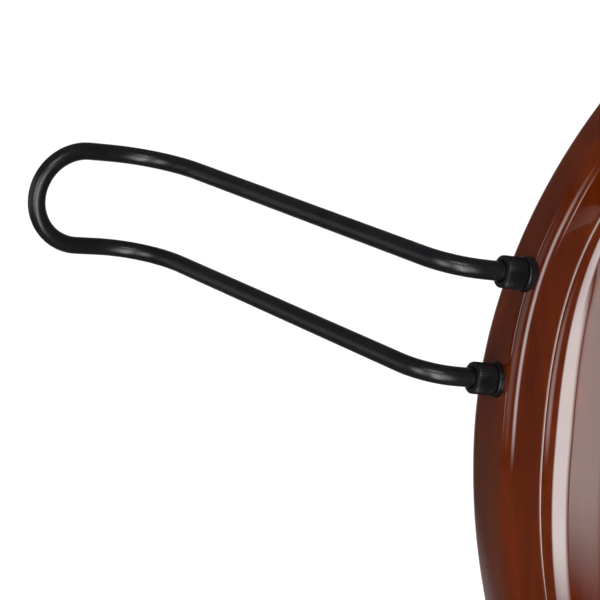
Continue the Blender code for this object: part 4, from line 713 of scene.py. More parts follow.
def rest_path(bend_steps=26, loop_steps=48):
    leg = [(-LEG_IN_SOCKET, 0.0), (NUT_PLANE + LEG_STUB, 0.0)]
    heading = bend(leg, 0.0, FIRST_BEND, FIRST_RADIUS, bend_steps)
    x, y = leg[-1]
    for share in (0.25, 0.5, 0.75, 1.0):
        run = LEG_STRAIGHT * share
        leg.append((x + run * math.cos(heading), y + run * math.sin(heading)))
    heading = bend(leg, heading, -SECOND_BEND, SECOND_RADIUS, bend_steps)
    x, y = leg[-1]
    leg.append((x + LOOP_STUB * math.cos(heading), y + LOOP_STUB * math.sin(heading)))
    half = LEG_SPACING / 2
    path = [(-back, half, out) for out, back in leg]
    out, back = leg[-1]
    for i in range(1, loop_steps):
        angle = math.pi * i / loop_steps
        reach = half * math.sin(angle)
        path.append((-(back + reach * math.sin(heading)), half * math.cos(angle), out + reach * math.cos(heading)))
    path += [(-back, -half, out) for out, back in reversed(leg)]
    return [SEAT @ Vector(p) for p in path]


KNURL_TEETH = 60
KNURL_DEPTH = 0.36 * MM


def nut_mesh(name, matrix):
    """A lock nut: plain chamfers at both ends, and a fine straight knurl between them."""
    r, low, high = NUT_RADIUS, NUT_INNER, NUT_OUTER
    chamfer, land = 0.75 * MM, 0.35 * MM
    outer = [(r - chamfer, high), (r - chamfer * 0.55, high - chamfer * 0.2), (r - chamfer * 0.2, high - chamfer * 0.55),
             (r - KNURL_DEPTH, high - chamfer), (r, high - chamfer - land), (r, low + land + 0.3 * MM),
             (r - KNURL_DEPTH, low + 0.3 * MM), (r - 0.6 * MM, low)]
    bore = SOCKET_NECK + GAP
    inner = [(bore, low), (bore, high - NUT_LIP), (SOCKET_BORE, high - NUT_LIP), (SOCKET_BORE, high - 0.5 * MM),
             (SOCKET_BORE + 0.5 * MM, high)]

    def knurl(index, step, radius):
        if index in (4, 5):
            return radius - (0, KNURL_DEPTH * 0.45, KNURL_DEPTH, KNURL_DEPTH * 0.45)[step % 4]
        return radius

    return turned_mesh(name, outer + inner, matrix, steps=KNURL_TEETH * 4, angle=28, shape=knurl)


def socket_mesh(name, matrix):
    collet_low = NUT_OUTER - NUT_LIP - GAP - COLLET_LENGTH
    profile = [(SOCKET_NECK, collet_low - GAP), (SOCKET_NECK, FLANGE_OUT)]
    flange = rounded([(SOCKET_NECK + 0.1 * MM, FLANGE_OUT), (FLANGE_RADIUS, FLANGE_OUT), (FLANGE_RADIUS, -FLANGE_SUNK),
                      (SOCKET_BARREL, -FLANGE_SUNK)], 0.7 * MM, steps=5, skip=(0, 2, 3))
    return turned_mesh(name, profile + flange + [(SOCKET_BARREL, -SOCKET_END), (SOCKET_BORE, -SOCKET_END),
                                                 (SOCKET_BORE, collet_low - GAP)], matrix, angle=40)


def build_body_rest():
    add("body_rest_rod", tube_mesh("body_rest_rod", rest_path(), ROD_RADIUS, sides=48, end_round=0.8 * MM),
        "black_steel", "body_rest", "body_rest_arm")
    for name, side in (("upper", 1), ("lower", -1)):
        place = SEAT @ Matrix.Translation((0, side * LEG_SPACING / 2, leg_seat(side)))
        add(f"knurled_nut_{name}", nut_mesh(f"knurled_nut_{name}", place), "black_steel", f"lock_nut_{name}",
            f"lock_nut_{name}")
        add(f"flanged_socket_{name}", socket_mesh(f"flanged_socket_{name}", place), "black_steel", "instrument",
            f"socket_{name}")


# ==== More helpers =============================================================================

def polished(name, node, material, body, width=0.6 * MM, segments=3, angle=35):
    """A finer copy of a flat-sided CAD node: its flats merged and its edges rounded."""
    source = frame["nodes"][node]
    bm = bmesh.new()
    bm.from_mesh(source.data)
    bm.transform(source.matrix_world)
    bmesh.ops.remove_doubles(bm, verts=bm.verts, dist=0.000005)
    bmesh.ops.dissolve_limit(bm, angle_limit=math.radians(1), verts=bm.verts, edges=bm.edges)
    sharp = [e for e in bm.edges if len(e.link_faces) == 2 and e.calc_face_angle(0) > math.radians(angle)]
    bmesh.ops.bevel(bm, geom=sharp, offset=width, offset_type="OFFSET", segments=segments, affect="EDGES",
                    clamp_overlap=True, profile=0.5)
    return add(name, finish_mesh(bm, name, 40), material, body, node)


def extruded(name, outline, thick, matrix, width, segments=3, holes=()):
    """A plate from a closed outline in its frame's XY plane, holes cut, edges rounded."""
    bm = bmesh.new()
    low = [bm.verts.new((x, y, -thick / 2)) for x, y in outline]
    high = [bm.verts.new((x, y, thick / 2)) for x, y in outline]
    bm.faces.new(low)
    bm.faces.new(high)
    for i in range(len(low)):
        j = (i + 1) % len(low)
        bm.faces.new((low[i], low[j], high[j], high[i]))
    bmesh.ops.recalc_face_normals(bm, faces=bm.faces)
    piece = bpy.data.objects.new(name, bpy.data.meshes.new(name))
    bm.to_mesh(piece.data)
    bm.free()
    bpy.context.scene.collection.objects.link(piece)
    for hole in holes:
        bool_cut(piece, hole)
    bm = bmesh.new()
    bm.from_mesh(piece.data)
    bmesh.ops.remove_doubles(bm, verts=bm.verts, dist=0.000002)
    bmesh.ops.dissolve_limit(bm, angle_limit=math.radians(0.5), verts=bm.verts, edges=bm.edges)
    rims = [e for e in bm.edges if len(e.link_faces) == 2 and e.calc_face_angle(0) > math.radians(50)]
    bmesh.ops.bevel(bm, geom=rims, offset=width, offset_type="OFFSET", segments=segments, affect="EDGES",
                    clamp_overlap=True, profile=0.5)
    bm.transform(matrix)
    bpy.data.objects.remove(piece, do_unlink=True)
    return finish_mesh(bm, name, 40)


def disc_cutter(radius, low, high, sides=48):
    """A cylinder between two points."""
    low, high = Vector(low), Vector(high)
    place = facing(low, high - low, (high - low).orthogonal())
    length = (high - low).length
    return turned_mesh("cutter", [(0, 0), (radius, 0), (radius, length), (0, length)], place, steps=sides)


def smooth_path(points, rounds, steps=8):
    """Corners of a path rounded off with curves of the given reach."""
    made = [Vector(points[0])]
    for i in range(1, len(points) - 1):
        before, here, after = Vector(points[i - 1]), Vector(points[i]), Vector(points[i + 1])
        reach = min(rounds, (before - here).length * 0.45, (after - here).length * 0.45)
        start = here + (before - here).normalized() * reach
        end = here + (after - here).normalized() * reach
        for step in range(steps + 1):
            share = step / steps
            made.append(start.lerp(here, share).lerp(here.lerp(end, share), share))
    return made + [Vector(points[-1])]


def screw_mesh():
    """Pan-head screw with a cross recess: head on the XY plane, thread down -Z, for a 1.4 mm shank."""
    head, thick, shank, long = 2.8 * MM, 1.2 * MM, 1.4 * MM, 10 * MM
    top = [(head * math.cos(a), thick * math.sin(a) ** 0.8) for a in np.linspace(0.02, math.pi / 2 - 0.05, 8)]
    thread = []
    pitch = 0.9 * MM
    for k in range(9):
        low = -1.0 * MM - k * pitch
        thread += [(shank, low), (shank * 0.76, low - pitch * 0.5)]
    profile = [(0, thick)] + list(reversed(top)) + [(shank * 0.9, 0)] + thread + [(shank * 0.5, -long), (0, -long)]
    mesh = turned_mesh("screw", profile, Matrix.Identity(4), steps=32, angle=40)
    piece = bpy.data.objects.new("screw", mesh)
    bpy.context.scene.collection.objects.link(piece)
    for wide, tall in ((0.5 * MM, 3.0 * MM), (3.0 * MM, 0.5 * MM)):
        bm = bmesh.new()
        bmesh.ops.create_cube(bm, size=1)
        bmesh.ops.scale(bm, vec=(wide, tall, 1.6 * MM), verts=bm.verts)
        bmesh.ops.translate(bm, vec=(0, 0, thick), verts=bm.verts)
        bool_cut(piece, finish_mesh(bm, "cutter"))
    mesh = piece.data
    bpy.data.objects.remove(piece, do_unlink=True)
    mesh.shade_smooth()
    mesh.set_sharp_from_angle(angle=math.radians(35))
    return mesh


# ==== Strings' plane, neck and head ============================================================

STRING_LENGTH = 1060 * MM
Z_BRIDGE = Z_BOTTOM + 290 * MM
Z_NUT = Z_BRIDGE + STRING_LENGTH
STRING_Y_NUT = -50 * MM
BRIDGE_HEIGHT = 76 * MM
BRIDGE_CROWN = 92 * MM
BRIDGE_SPACING = 27 * MM
BRIDGE_THICK = 11 * MM
NUT_SPACING = 10 * MM
POST_SPACING = 5 * MM
STRING_NAMES = ("e", "a", "d", "g")
STRING_PLACES = dict(zip(STRING_NAMES, (-1.5, -0.5, 0.5, 1.5)))
STRING_RADII = {"e": 1.3 * MM, "a": 1.05 * MM, "d": 0.8 * MM, "g": 0.6 * MM}
MACHINES = (("e", 0, -1), ("g", 1, 1), ("a", 2, -1), ("d", 3, 1))
BOARD_LENGTH = 800 * MM
BOARD_CROWN = 80 * MM
HEEL_HALF = 27 * MM
HEAD_HALF = 23 * MM
POST_RADIUS = 5 * MM
TOP_NUT_LONG = 8 * MM
NOTCH_DEEP = 0.8 * MM
Y_BRIDGE_TOP = Y_FRONT - ARCH_HEIGHT - BRIDGE_HEIGHT
STRING_SLOPE = (STRING_Y_NUT - Y_BRIDGE_TOP) / STRING_LENGTH
Y_HEEL = Y_FRONT + 15 * MM


def crown_drop(radius, x):
    return radius - math.sqrt(radius ** 2 - x ** 2)


def board_top_y(z):
    share = (Z_NUT - z) / BOARD_LENGTH
    return STRING_Y_NUT - (Z_NUT - z) * STRING_SLOPE + 1.2 * MM + 5.8 * MM * share


def board_half(z):
    return 21 * MM + 25 * MM * (Z_NUT - z) / BOARD_LENGTH


def board_under_y(z):
    return board_top_y(z) + crown_drop(BOARD_CROWN, board_half(z)) + 9 * MM


def lofted(name, sections, angle=35):
    bm = bmesh.new()
    skin(bm, sections)
    return finish_mesh(bm, name, angle)


def board_section(z, inset=0.0):
    half, top, under = board_half(z) - inset, board_top_y(z), board_under_y(z) - inset
    edge = 1.2 * MM
    xs = np.linspace(-half + edge, half - edge, 25)
    section = [(x, top + inset + crown_drop(BOARD_CROWN, x), z) for x in xs]
    corner = top + inset + crown_drop(BOARD_CROWN, half - edge)
    right = [(half - edge + edge * math.sin(a), corner + edge - edge * math.cos(a), z)
             for a in np.linspace(0.3, math.pi / 2, 5)]
    low = [(half, under - 0.5 * MM, z), (half - 0.5 * MM, under, z)]
    left = [(-x, y, z_) for x, y, z_ in reversed(right + low)]
    return section + right + low + left


def build_fingerboard():
    ends = [Z_NUT, Z_NUT - 0.6 * MM]
    levels = ends + list(np.linspace(Z_NUT - 10 * MM, Z_NUT - BOARD_LENGTH + 2 * MM, 30))
    sections = [board_section(z, 0.6 * MM if z == Z_NUT else 0) for z in levels]
    for step in range(1, 6):
        angle = math.pi / 2 * step / 5
        z = Z_NUT - BOARD_LENGTH + 2 * MM - 2 * MM * math.sin(angle)
        sections.append(board_section(z, 2 * MM * (1 - math.cos(angle))))
    add("ebony_fingerboard", lofted("ebony_fingerboard", sections), "ebony", "instrument", "fingerboard")


def neck_section(z, steps=40):
    share = (Z_NUT - z) / (Z_NUT - Z_TOP)
    half = min(HEEL_HALF, board_half(z) - 1 * MM)
    deep = 24 * MM + 7 * MM * share
    near_heel = max(0.0, 1 - (z - Z_TOP) / (70 * MM))
    top = board_under_y(z) + GAP
    bulge = (Y_HEEL - GAP - top - deep) * near_heel ** 2.2
    deep += bulge
    edge = 3 * MM
    power = 1 - 0.55 * near_heel ** 1.5
    section = [(-half, top, z)]
    for i in range(steps + 1):
        angle = math.pi * i / steps
        cos, sin = math.cos(angle), math.sin(angle)
        section.append((-half * math.copysign(abs(cos) ** power, cos), top + edge + (deep - edge) * sin ** power, z))
    return section + [(half, top, z)]


SCROLL_RADIUS = 34 * MM
Z_HEAD = Z_NUT + GAP
Y_HEAD_FRONT = board_under_y(Z_NUT)
Y_HEAD_BACK = Y_HEAD_FRONT + 24 * MM
Y_POST = STRING_Y_NUT + 34 * MM
Z_SCROLL = Z_HEAD + 158 * MM + SCROLL_RADIUS * 0.55
Y_SCROLL = Y_POST + SCROLL_RADIUS * 0.35


def post_z(order):
    return Z_HEAD + 42 * MM + 29 * MM * order


def head_outline():
    front_top = (Y_SCROLL - SCROLL_RADIUS * 0.75, Z_SCROLL)
    back_top = (Y_SCROLL + SCROLL_RADIUS * 0.75, Z_SCROLL)
    start = (Y_HEAD_FRONT + 1.5 * MM, Z_NUT + TOP_NUT_LONG + 2 * GAP)
    front = bezier(start, (start[0], start[1] + 60 * MM), (front_top[0], front_top[1] - 60 * MM), front_top, 36)
    back = bezier(back_top, (back_top[0] + 6 * MM, back_top[1] - 50 * MM),
                  (Y_HEAD_BACK + 26 * MM, Z_HEAD + 34 * MM), (Y_HEAD_BACK, Z_HEAD), 44)
    return front + back


SCROLL_TURNS = 2.1
SCROLL_EYE = 8.5 * MM
SCROLL_HOLD = 0.6       # turns round the outside before the ridge starts inwards


def scroll_radius(turn):
    """Radius of the spiral's ridge after a number of turns."""
    share = max(0.0, min(1.0, (turn - SCROLL_HOLD) / (SCROLL_TURNS - SCROLL_HOLD)))
    return SCROLL_RADIUS * (SCROLL_EYE / SCROLL_RADIUS) ** share


def scroll_width(radius, around):
    """Half width of the scroll at a place on its side: each turn stands prouder than the one outside it."""
    turn = around
    while turn + 1 < SCROLL_TURNS + 1 and scroll_radius(turn + 1) >= radius and turn < SCROLL_TURNS:
        turn += 1
    outer, inner = scroll_radius(turn), scroll_radius(turn + 1)
    level = 23.3 * MM + 10.4 * MM * min(1.0, turn / SCROLL_TURNS)
    next_level = 23.3 * MM + 10.4 * MM * min(1.0, (turn + 1) / SCROLL_TURNS)
    if turn >= SCROLL_TURNS:
        return level - 1.6 * MM * (radius / SCROLL_EYE) ** 4
    share = max(0.0, min(1.0, (radius - inner) / max(outer - inner, 0.1 * MM)))
    wall = max(0.0, 1 - share / 0.16)
    hollow = 1.7 * MM * math.sin(math.pi * share) ** 0.8
    return level - hollow + (next_level - level) * wall ** 0.8


def volute_mesh():
    """The scroll: a spiral carved in relief on both sides, as a polar grid closed at the rim."""
    turns, reach = 144, 46
    bm = bmesh.new()
    centre = {side: bm.verts.new((side * scroll_width(0, 0), Y_SCROLL, Z_SCROLL)) for side in (-1, 1)}
    grids = {}
    for side in (-1, 1):
        rows = []
        for j in range(turns):
            around = j / turns
            angle = math.radians(-118) + 2 * math.pi * around
            rim = scroll_radius(around)
            row = []
            for k in range(1, reach + 1):
                radius = rim * k / reach
                row.append(bm.verts.new((side * scroll_width(radius * 0.999, around),
                                         Y_SCROLL + radius * math.cos(angle), Z_SCROLL + radius * math.sin(angle))))
            rows.append(row)
        grids[side] = rows
        for j in range(turns):
            here, ahead = rows[j], rows[(j + 1) % turns]
            bm.faces.new((centre[side], here[0], ahead[0]))
            for k in range(reach - 1):
                bm.faces.new((here[k], here[k + 1], ahead[k + 1], ahead[k]))
    for j in range(turns):
        a, b = (j, (j + 1) % turns)
        bm.faces.new((grids[-1][a][-1], grids[-1][b][-1], grids[1][b][-1], grids[1][a][-1]))
    return finish_mesh(bm, "volute", 42)


def build_neck():
    levels = list(np.linspace(Z_NUT + 12 * MM, Z_TOP + 72 * MM, 40)) + list(np.linspace(Z_TOP + 70 * MM, Z_TOP + GAP, 30))
    neck = add("neck_wood", lofted("neck_wood", [neck_section(z) for z in levels]), "lacquered_maple",
               "instrument", "neck")
    side_view = facing((0, 0, 0), (1, 0, 0), (0, 0, 1))
    channel_low, channel_high = Z_HEAD + 14 * MM, post_z(3) + 16 * MM
    slot = rounded([(-14 * MM, channel_low), (14 * MM, channel_low), (14 * MM, channel_high), (-14 * MM, channel_high)],
                   6 * MM, steps=6)
    bm = bmesh.new()
    skin(bm, [[(x, y, z) for x, z in slot] for y in (Y_HEAD_FRONT - 30 * MM, Y_POST + 12 * MM)])
    cutters = [finish_mesh(bm, "cutter")]
    for _, order, _ in MACHINES:
        cutters.append(disc_cutter(POST_RADIUS + GAP, (-HEAD_HALF - 5 * MM, Y_POST, post_z(order)),
                                   (HEAD_HALF + 5 * MM, Y_POST, post_z(order)), 32))
    local = []
    turn_back = side_view.inverted()
    for cutter in cutters:
        cutter.transform(turn_back)
        local.append(cutter)
    pegbox = extruded("pegbox", [(y, z) for y, z in head_outline()], 2 * HEAD_HALF, side_view, 2.2 * MM, 4, local)
    bool_cut(neck, pegbox, "UNION")
    bool_cut(neck, volute_mesh(), "UNION")
    heel_low = Z_TOP - 72 * MM
    heel = []
    for z in (heel_low + GAP, Z_TOP + 2 * MM):
        heel.append([(-HEEL_HALF, board_under_y(z) + GAP, z), (-HEEL_HALF, Y_HEEL - GAP, z),
                     (HEEL_HALF, Y_HEEL - GAP, z), (HEEL_HALF, board_under_y(z) + GAP, z)])
    bool_cut(neck, lofted("heel", heel), "UNION")
    neck.data.shade_smooth()
    neck.data.set_sharp_from_angle(angle=math.radians(38))
    polished("bone_black_nut", "top_nut", "ebony", "instrument", 0.5 * MM)


# ==== Tuning machines ==========================================================================

PLATE_TOP = 2.3 * MM
WORM_DOWN = 13.9 * MM
WORM_UP = PLATE_TOP + 4.3 * MM


def paddle_mesh(name, matrix):
    """A key's paddle: a flat pear with soft edges and shallow hollows for the fingers."""
    bm = bmesh.new()
    bmesh.ops.create_uvsphere(bm, u_segments=48, v_segments=32, radius=1)
    for v in bm.verts:
        x, y, z = v.co
        wide = 13 * MM * (0.74 + 0.26 * y)
        flat = math.copysign(abs(z) ** 0.45, z)
        hollow = 1 - 0.25 * max(0.0, 1 - (x * x + y * y) / 0.5)
        v.co = matrix @ Vector((x * wide, 11 * MM + y * 11 * MM, flat * 3 * MM * hollow))
    return finish_mesh(bm, name, 60)


def build_machines(screw):
    for name, order, side in MACHINES:
        cheek = facing((side * HEAD_HALF, Y_POST, post_z(order)), (side, 0, 0), (0, 0, 1))
        polished(f"machine_plate_{name}", f"tuner_plate_{name}", "black_steel", "instrument", 0.5 * MM)
        for index, (x, y) in enumerate(((-14, 10), (14, 10), (-14, -18), (14, -18))):
            piece = add(f"plate_screw_{name}_{index + 1}", screw, "steel", "instrument")
            piece.matrix_world = cheek @ Matrix.Translation((x * MM, y * MM, PLATE_TOP + 0.05 * MM))
        post = rounded([(0, -47 * MM), (POST_RADIUS, -47 * MM), (POST_RADIUS, 3.8 * MM), (0, 3.8 * MM)], 0.8 * MM,
                       skip=(0, 3))
        add(f"string_post_{name}", turned_mesh(f"string_post_{name}", post, cheek, 64), "steel", f"post_{name}",
            f"tuner_post_{name}")
        polished(f"worm_wheel_{name}", f"tuner_gear_{name}", "steel", f"post_{name}", 0.35 * MM)
        cap = [(0, 10.4 * MM), (1.6 * MM, 10.2 * MM), (2.8 * MM, 9.6 * MM), (3.2 * MM, 9.1 * MM), (0, 9.1 * MM)]
        add(f"wheel_screw_{name}", turned_mesh(f"wheel_screw_{name}", cap, cheek, 48), "steel", f"post_{name}")
        back = -side
        axis = cheek @ facing((0, -WORM_DOWN, WORM_UP), (back, 0, 0), (0, 1, 0))
        profile = [(0, 51 * MM), (3.5 * MM, 51 * MM), (3.3 * MM, 42 * MM), (2.5 * MM, 26 * MM), (2.5 * MM, 17 * MM),
                   (4.2 * MM, 16.6 * MM), (4.2 * MM, 14.6 * MM), (2.5 * MM, 14.2 * MM), (2.5 * MM, 6 * MM),
                   (3 * MM, 5.8 * MM), (3 * MM, -5.8 * MM), (2.5 * MM, -6 * MM), (2.5 * MM, -13 * MM), (0, -13 * MM)]
        key = add(f"worm_key_{name}", turned_mesh(f"worm_key_{name}", profile, axis, 48), "black_steel",
                  f"key_{name}", f"tuner_key_{name}")
        helix = [axis @ Vector((3.15 * MM * math.cos(t), 3.15 * MM * math.sin(t), -5.2 * MM + 10.4 * MM * t / (8 * math.pi)))
                 for t in np.linspace(0, 8 * math.pi, 161)]
        bool_cut(key, tube_mesh("thread", helix, 0.85 * MM, 10), "UNION")
        paddle = paddle_mesh("paddle", axis @ Matrix.Translation((0, 0, 49 * MM)) @ Matrix.Rotation(math.pi / 2, 4, "X"))
        bool_cut(key, paddle, "UNION")
        key.data.shade_smooth()
        key.data.set_sharp_from_angle(angle=math.radians(38))


# ==== Bridge, tailpiece, saddle and strings ====================================================

def string_at_bridge(name):
    x = STRING_PLACES[name] * BRIDGE_SPACING
    return Y_BRIDGE_TOP + crown_drop(BRIDGE_CROWN, x) + NOTCH_DEEP - STRING_RADII[name]


def string_at_nut(name):
    x = STRING_PLACES[name] * NUT_SPACING
    return board_top_y(Z_NUT) - 1.5 * MM + crown_drop(BOARD_CROWN, x) + NOTCH_DEEP - STRING_RADII[name]


def bridge_outline():
    """Front view of the bridge as (x, depth)."""
    foot_x = np.linspace(50 * MM, 22 * MM, 12)
    feet = [(x, front_surface(x, Z_BRIDGE) - GAP) for x in foot_x]
    arch_floor = feet[-1][1]
    heel_y = feet[0][1] - 9 * MM
    right = [(50 * MM, heel_y)] + feet + [(22 * MM, arch_floor - 5.4 * MM)]
    for angle in np.linspace(0.12, math.pi / 2, 16):
        right.append((20 * MM * math.cos(angle), arch_floor - 5.4 * MM - 20.6 * MM * math.sin(angle)))
    right[-1] = (0.0, right[-1][1])
    crown = [(x, Y_BRIDGE_TOP + crown_drop(BRIDGE_CROWN, x)) for x in np.linspace(0, 48 * MM, 25)]
    side = bezier(crown[-1], (46 * MM, crown[-1][1] + 18 * MM), (30 * MM, heel_y - 26 * MM),
                  (33 * MM, heel_y - 10 * MM), 24)
    lower = bezier(side[-1], (36 * MM, heel_y - 3 * MM), (44 * MM, heel_y), (50 * MM, heel_y), 12)
    half = crown[:-1] + side[:-1] + lower[:-1] + right
    return half + [(-x, y) for x, y in reversed(half[1:-1])]


def build_bridge():
    flat = facing((0, 0, Z_BRIDGE), (0, 0, -1), (0, 1, 0))
    cutters = []
    middle = Y_BRIDGE_TOP + 34 * MM
    reach = 3 * BRIDGE_THICK
    shapes = []
    heart = [(7.2 * MM * math.sin(t) ** 3 * 1.15,
              -(0.45 * (13 * math.cos(t) - 5 * math.cos(2 * t) - 2 * math.cos(3 * t) - math.cos(4 * t))) * MM)
             for t in np.linspace(0, 2 * math.pi, 49)[:-1]]
    shapes.append([(x, middle - 4 * MM + y) for x, y in heart])
    for side in (-1, 1):
        eye = []
        for t in np.linspace(0, 2 * math.pi, 33)[:-1]:
            eye.append((side * (27 * MM + 6.5 * MM * math.cos(t)), middle + 6 * MM + 7 * MM * math.sin(t)
                        + 3 * MM * math.cos(t)))
        shapes.append(eye)
    for shape in shapes:
        bm = bmesh.new()
        skin(bm, [[(-x, y, z) for x, y in shape] for z in (-reach, reach)])
        cutters.append(finish_mesh(bm, "cutter"))
    for name in STRING_NAMES:
        x, y = STRING_PLACES[name] * BRIDGE_SPACING, string_at_bridge(name)
        cutters.append(disc_cutter(STRING_RADII[name] + GAP, (-x, y, -reach), (-x, y, reach), 24))
    add("maple_bridge", extruded("maple_bridge", [(-x, y) for x, y in bridge_outline()], BRIDGE_THICK, flat,
                                 0.7 * MM, 3, cutters), "bridge_maple", "instrument", "bridge")


TAIL_LENGTH = 140 * MM
TAIL_BULGE = 9 * MM


def tail_matrix():
    top = Vector((0, Y_FRONT - 34 * MM, Z_BOTTOM + 195 * MM))
    down = Vector((0, 16 * MM, -TAIL_LENGTH)).normalized()
    return facing(top, Vector((0, -1, 0)), -down)


def string_tail(name):
    low = tail_matrix() @ Vector((STRING_PLACES[name] * 17 * MM, -8 * MM, 0))
    high = Vector((STRING_PLACES[name] * BRIDGE_SPACING, string_at_bridge(name), Z_BRIDGE - BRIDGE_THICK / 2))
    return low, high


def build_tail():
    matrix = tail_matrix()
    outline = []
    for half, along, bulge in ((38 * MM, 0.0, 1), (19 * MM, -TAIL_LENGTH, -1)):
        for angle in np.linspace(0, math.pi, 33):
            x = half * math.cos(angle) * bulge
            outline.append((x, along + bulge * TAIL_BULGE * math.sin(angle)))
    end = matrix @ Vector((0, -TAIL_LENGTH - TAIL_BULGE, 0))
    saddle_low = Z_BOTTOM + 8 * MM
    saddle_high = saddle_low + 9 * MM
    over = Y_FRONT - 5 * MM - 1.25 * MM - GAP
    wire_top = end.z + 8 * MM
    back = matrix.inverted()
    cutters = []
    for side in (-1, 1):
        cutters.append(disc_cutter(1.25 * MM + GAP, back @ Vector((side * 12 * MM, end.y, wire_top + GAP)),
                                   back @ Vector((side * 12 * MM, over, saddle_high)), 24))
    for name in STRING_NAMES:
        low, high = string_tail(name)
        along = (high - low).normalized()
        cutters.append(disc_cutter(STRING_RADII[name] + GAP, back @ (low - along * 2 * GAP),
                                   back @ (low + along * 60 * MM), 24))
    add("ebony_tailpiece", extruded("ebony_tailpiece", outline, 10 * MM, matrix, 2.4 * MM, 5, cutters), "ebony",
        "instrument", "tailpiece")
    around = 15 * MM + 1.25 * MM + GAP
    loop_z = Z_BOTTOM - GAP - 7.5 * MM
    right = [(12 * MM, end.y, wire_top), (12 * MM, over, saddle_high), (12 * MM, over, saddle_low),
             (13 * MM, over + 3 * MM, Z_BOTTOM - 1 * MM), (around * 0.99, -around * 0.55, loop_z + 3 * MM)]
    behind = [(around * math.cos(a), around * math.sin(a), loop_z) for a in np.linspace(0, math.pi, 25)]
    path = right + behind + [(-x, y, z) for x, y, z in reversed(right)]
    add("tail_cable", tube_mesh("tail_cable", smooth_path(path, 2.5 * MM, 5), 1.25 * MM, 14), "steel", "instrument",
        "tail_wire")
    polished("ebony_saddle", "saddle", "ebony", "instrument", 0.3 * MM)


def build_strings():
    orders = {name: (order, side) for name, order, side in MACHINES}
    for name in STRING_NAMES:
        radius = STRING_RADII[name]
        order, side = orders[name]
        low, at_bridge = string_tail(name)
        x_bridge, x_nut = STRING_PLACES[name] * BRIDGE_SPACING, STRING_PLACES[name] * NUT_SPACING
        x_post = STRING_PLACES[name] * POST_SPACING
        clear = POST_RADIUS + radius + GAP
        path = [low, at_bridge, Vector((x_bridge, string_at_bridge(name), Z_BRIDGE + BRIDGE_THICK / 2)),
                Vector((x_nut, string_at_nut(name), Z_NUT)),
                Vector((x_nut, string_at_nut(name), Z_NUT + GAP + TOP_NUT_LONG)),
                Vector((x_post, Y_POST - clear, post_z(order) - 1 * MM)),
                Vector((x_post, Y_POST - clear, post_z(order) + 2 * MM))]
        add(f"wound_string_{name}", tube_mesh(f"wound_string_{name}", smooth_path(path, 1.2 * MM, 4), radius, 14),
            "steel", "instrument", f"string_{name}")
        wind = []
        for t in np.linspace(math.pi, 6.5 * math.pi, 90):
            wind.append((x_post - side * (t + math.pi) / (2 * math.pi) * (2 * radius + 0.1 * MM),
                         Y_POST + clear * math.cos(t), post_z(order) + clear * math.sin(t)))
        add(f"string_winding_{name}", tube_mesh(f"string_winding_{name}", wind, radius * 0.97, 12), "steel",
            f"post_{name}")


# ==== Endpin, pickup, controls, back plates ====================================================

def build_endpin():
    bore = 5 * MM + GAP
    low, high = Z_BOTTOM - GAP - 15 * MM, Z_BOTTOM - GAP
    collar = rounded([(11 * MM, Z_BOTTOM + 45 * MM), (11 * MM, high), (15 * MM, high), (15 * MM, low + 2 * MM),
                      (13 * MM, low), (bore, low), (bore, Z_BOTTOM + 45 * MM)], 0.7 * MM)
    here = Matrix.Identity(4)
    middle = (low + high) / 2
    piece = add("endpin_socket", turned_mesh("endpin_socket", collar, here, 96), "black_steel", "instrument",
                "endpin_collar")
    bool_cut(piece, disc_cutter(2.5 * MM + GAP, (0, -5 * MM, middle), (0, -20 * MM, middle), 32))
    rod = rounded([(0, 8.3 * MM), (5 * MM, 8.3 * MM), (5 * MM, Z_BOTTOM + 180 * MM), (0, Z_BOTTOM + 180 * MM)],
                  0.8 * MM, skip=(0, 3))
    add("endpin_shaft", turned_mesh("endpin_shaft", rod, here, 64), "steel", "endpin", "endpin_rod")
    tip = [(9 * MM, 0), (9.6 * MM, 0.4 * MM), (12 * MM, 6 * MM)]
    for k in range(4):
        z = 6.4 * MM + k * 1.8 * MM
        tip += [(11.6 * MM, z), (11.6 * MM, z + 0.5 * MM), (12 * MM, z + 0.9 * MM), (12 * MM, z + 1.4 * MM)]
    tip += [(7.6 * MM, 29.4 * MM), (7.1 * MM, 30 * MM), (bore, 30 * MM), (bore, 8 * MM), (0, 8 * MM), (0, 0)]
    add("rubber_tip", turned_mesh("rubber_tip", tip, here, 96), "rubber", "endpin", "endpin_tip")
    axis = facing((0, 0, middle), (0, -1, 0), (0, 0, 1))
    outer = [(0, 26.4 * MM), (5.6 * MM, 27 * MM), (6.4 * MM, 26.7 * MM), (7 * MM, 26 * MM), (7 * MM, 19 * MM),
             (6.3 * MM, 18.2 * MM), (3.4 * MM, 18 * MM), (2.5 * MM, 17.4 * MM), (2.5 * MM, 5.3 * MM), (0, 5.3 * MM)]

    def knurl(index, step, radius):
        return radius - (0, 0.2 * MM, 0.4 * MM, 0.2 * MM)[step % 4] if index in (3, 4) else radius

    add("endpin_thumbscrew", turned_mesh("endpin_thumbscrew", outer, axis, 120, 28, knurl), "black_steel",
        "endpin_thumbscrew", "endpin_screw")


def half_width(z):
    points = HALF_OUTLINE
    for (ax, az), (bx, bz) in zip(points, points[1:]):
        if bz <= z <= az and az > bz:
            return ax + (bx - ax) * (az - z) / (az - bz)
    return 0.0


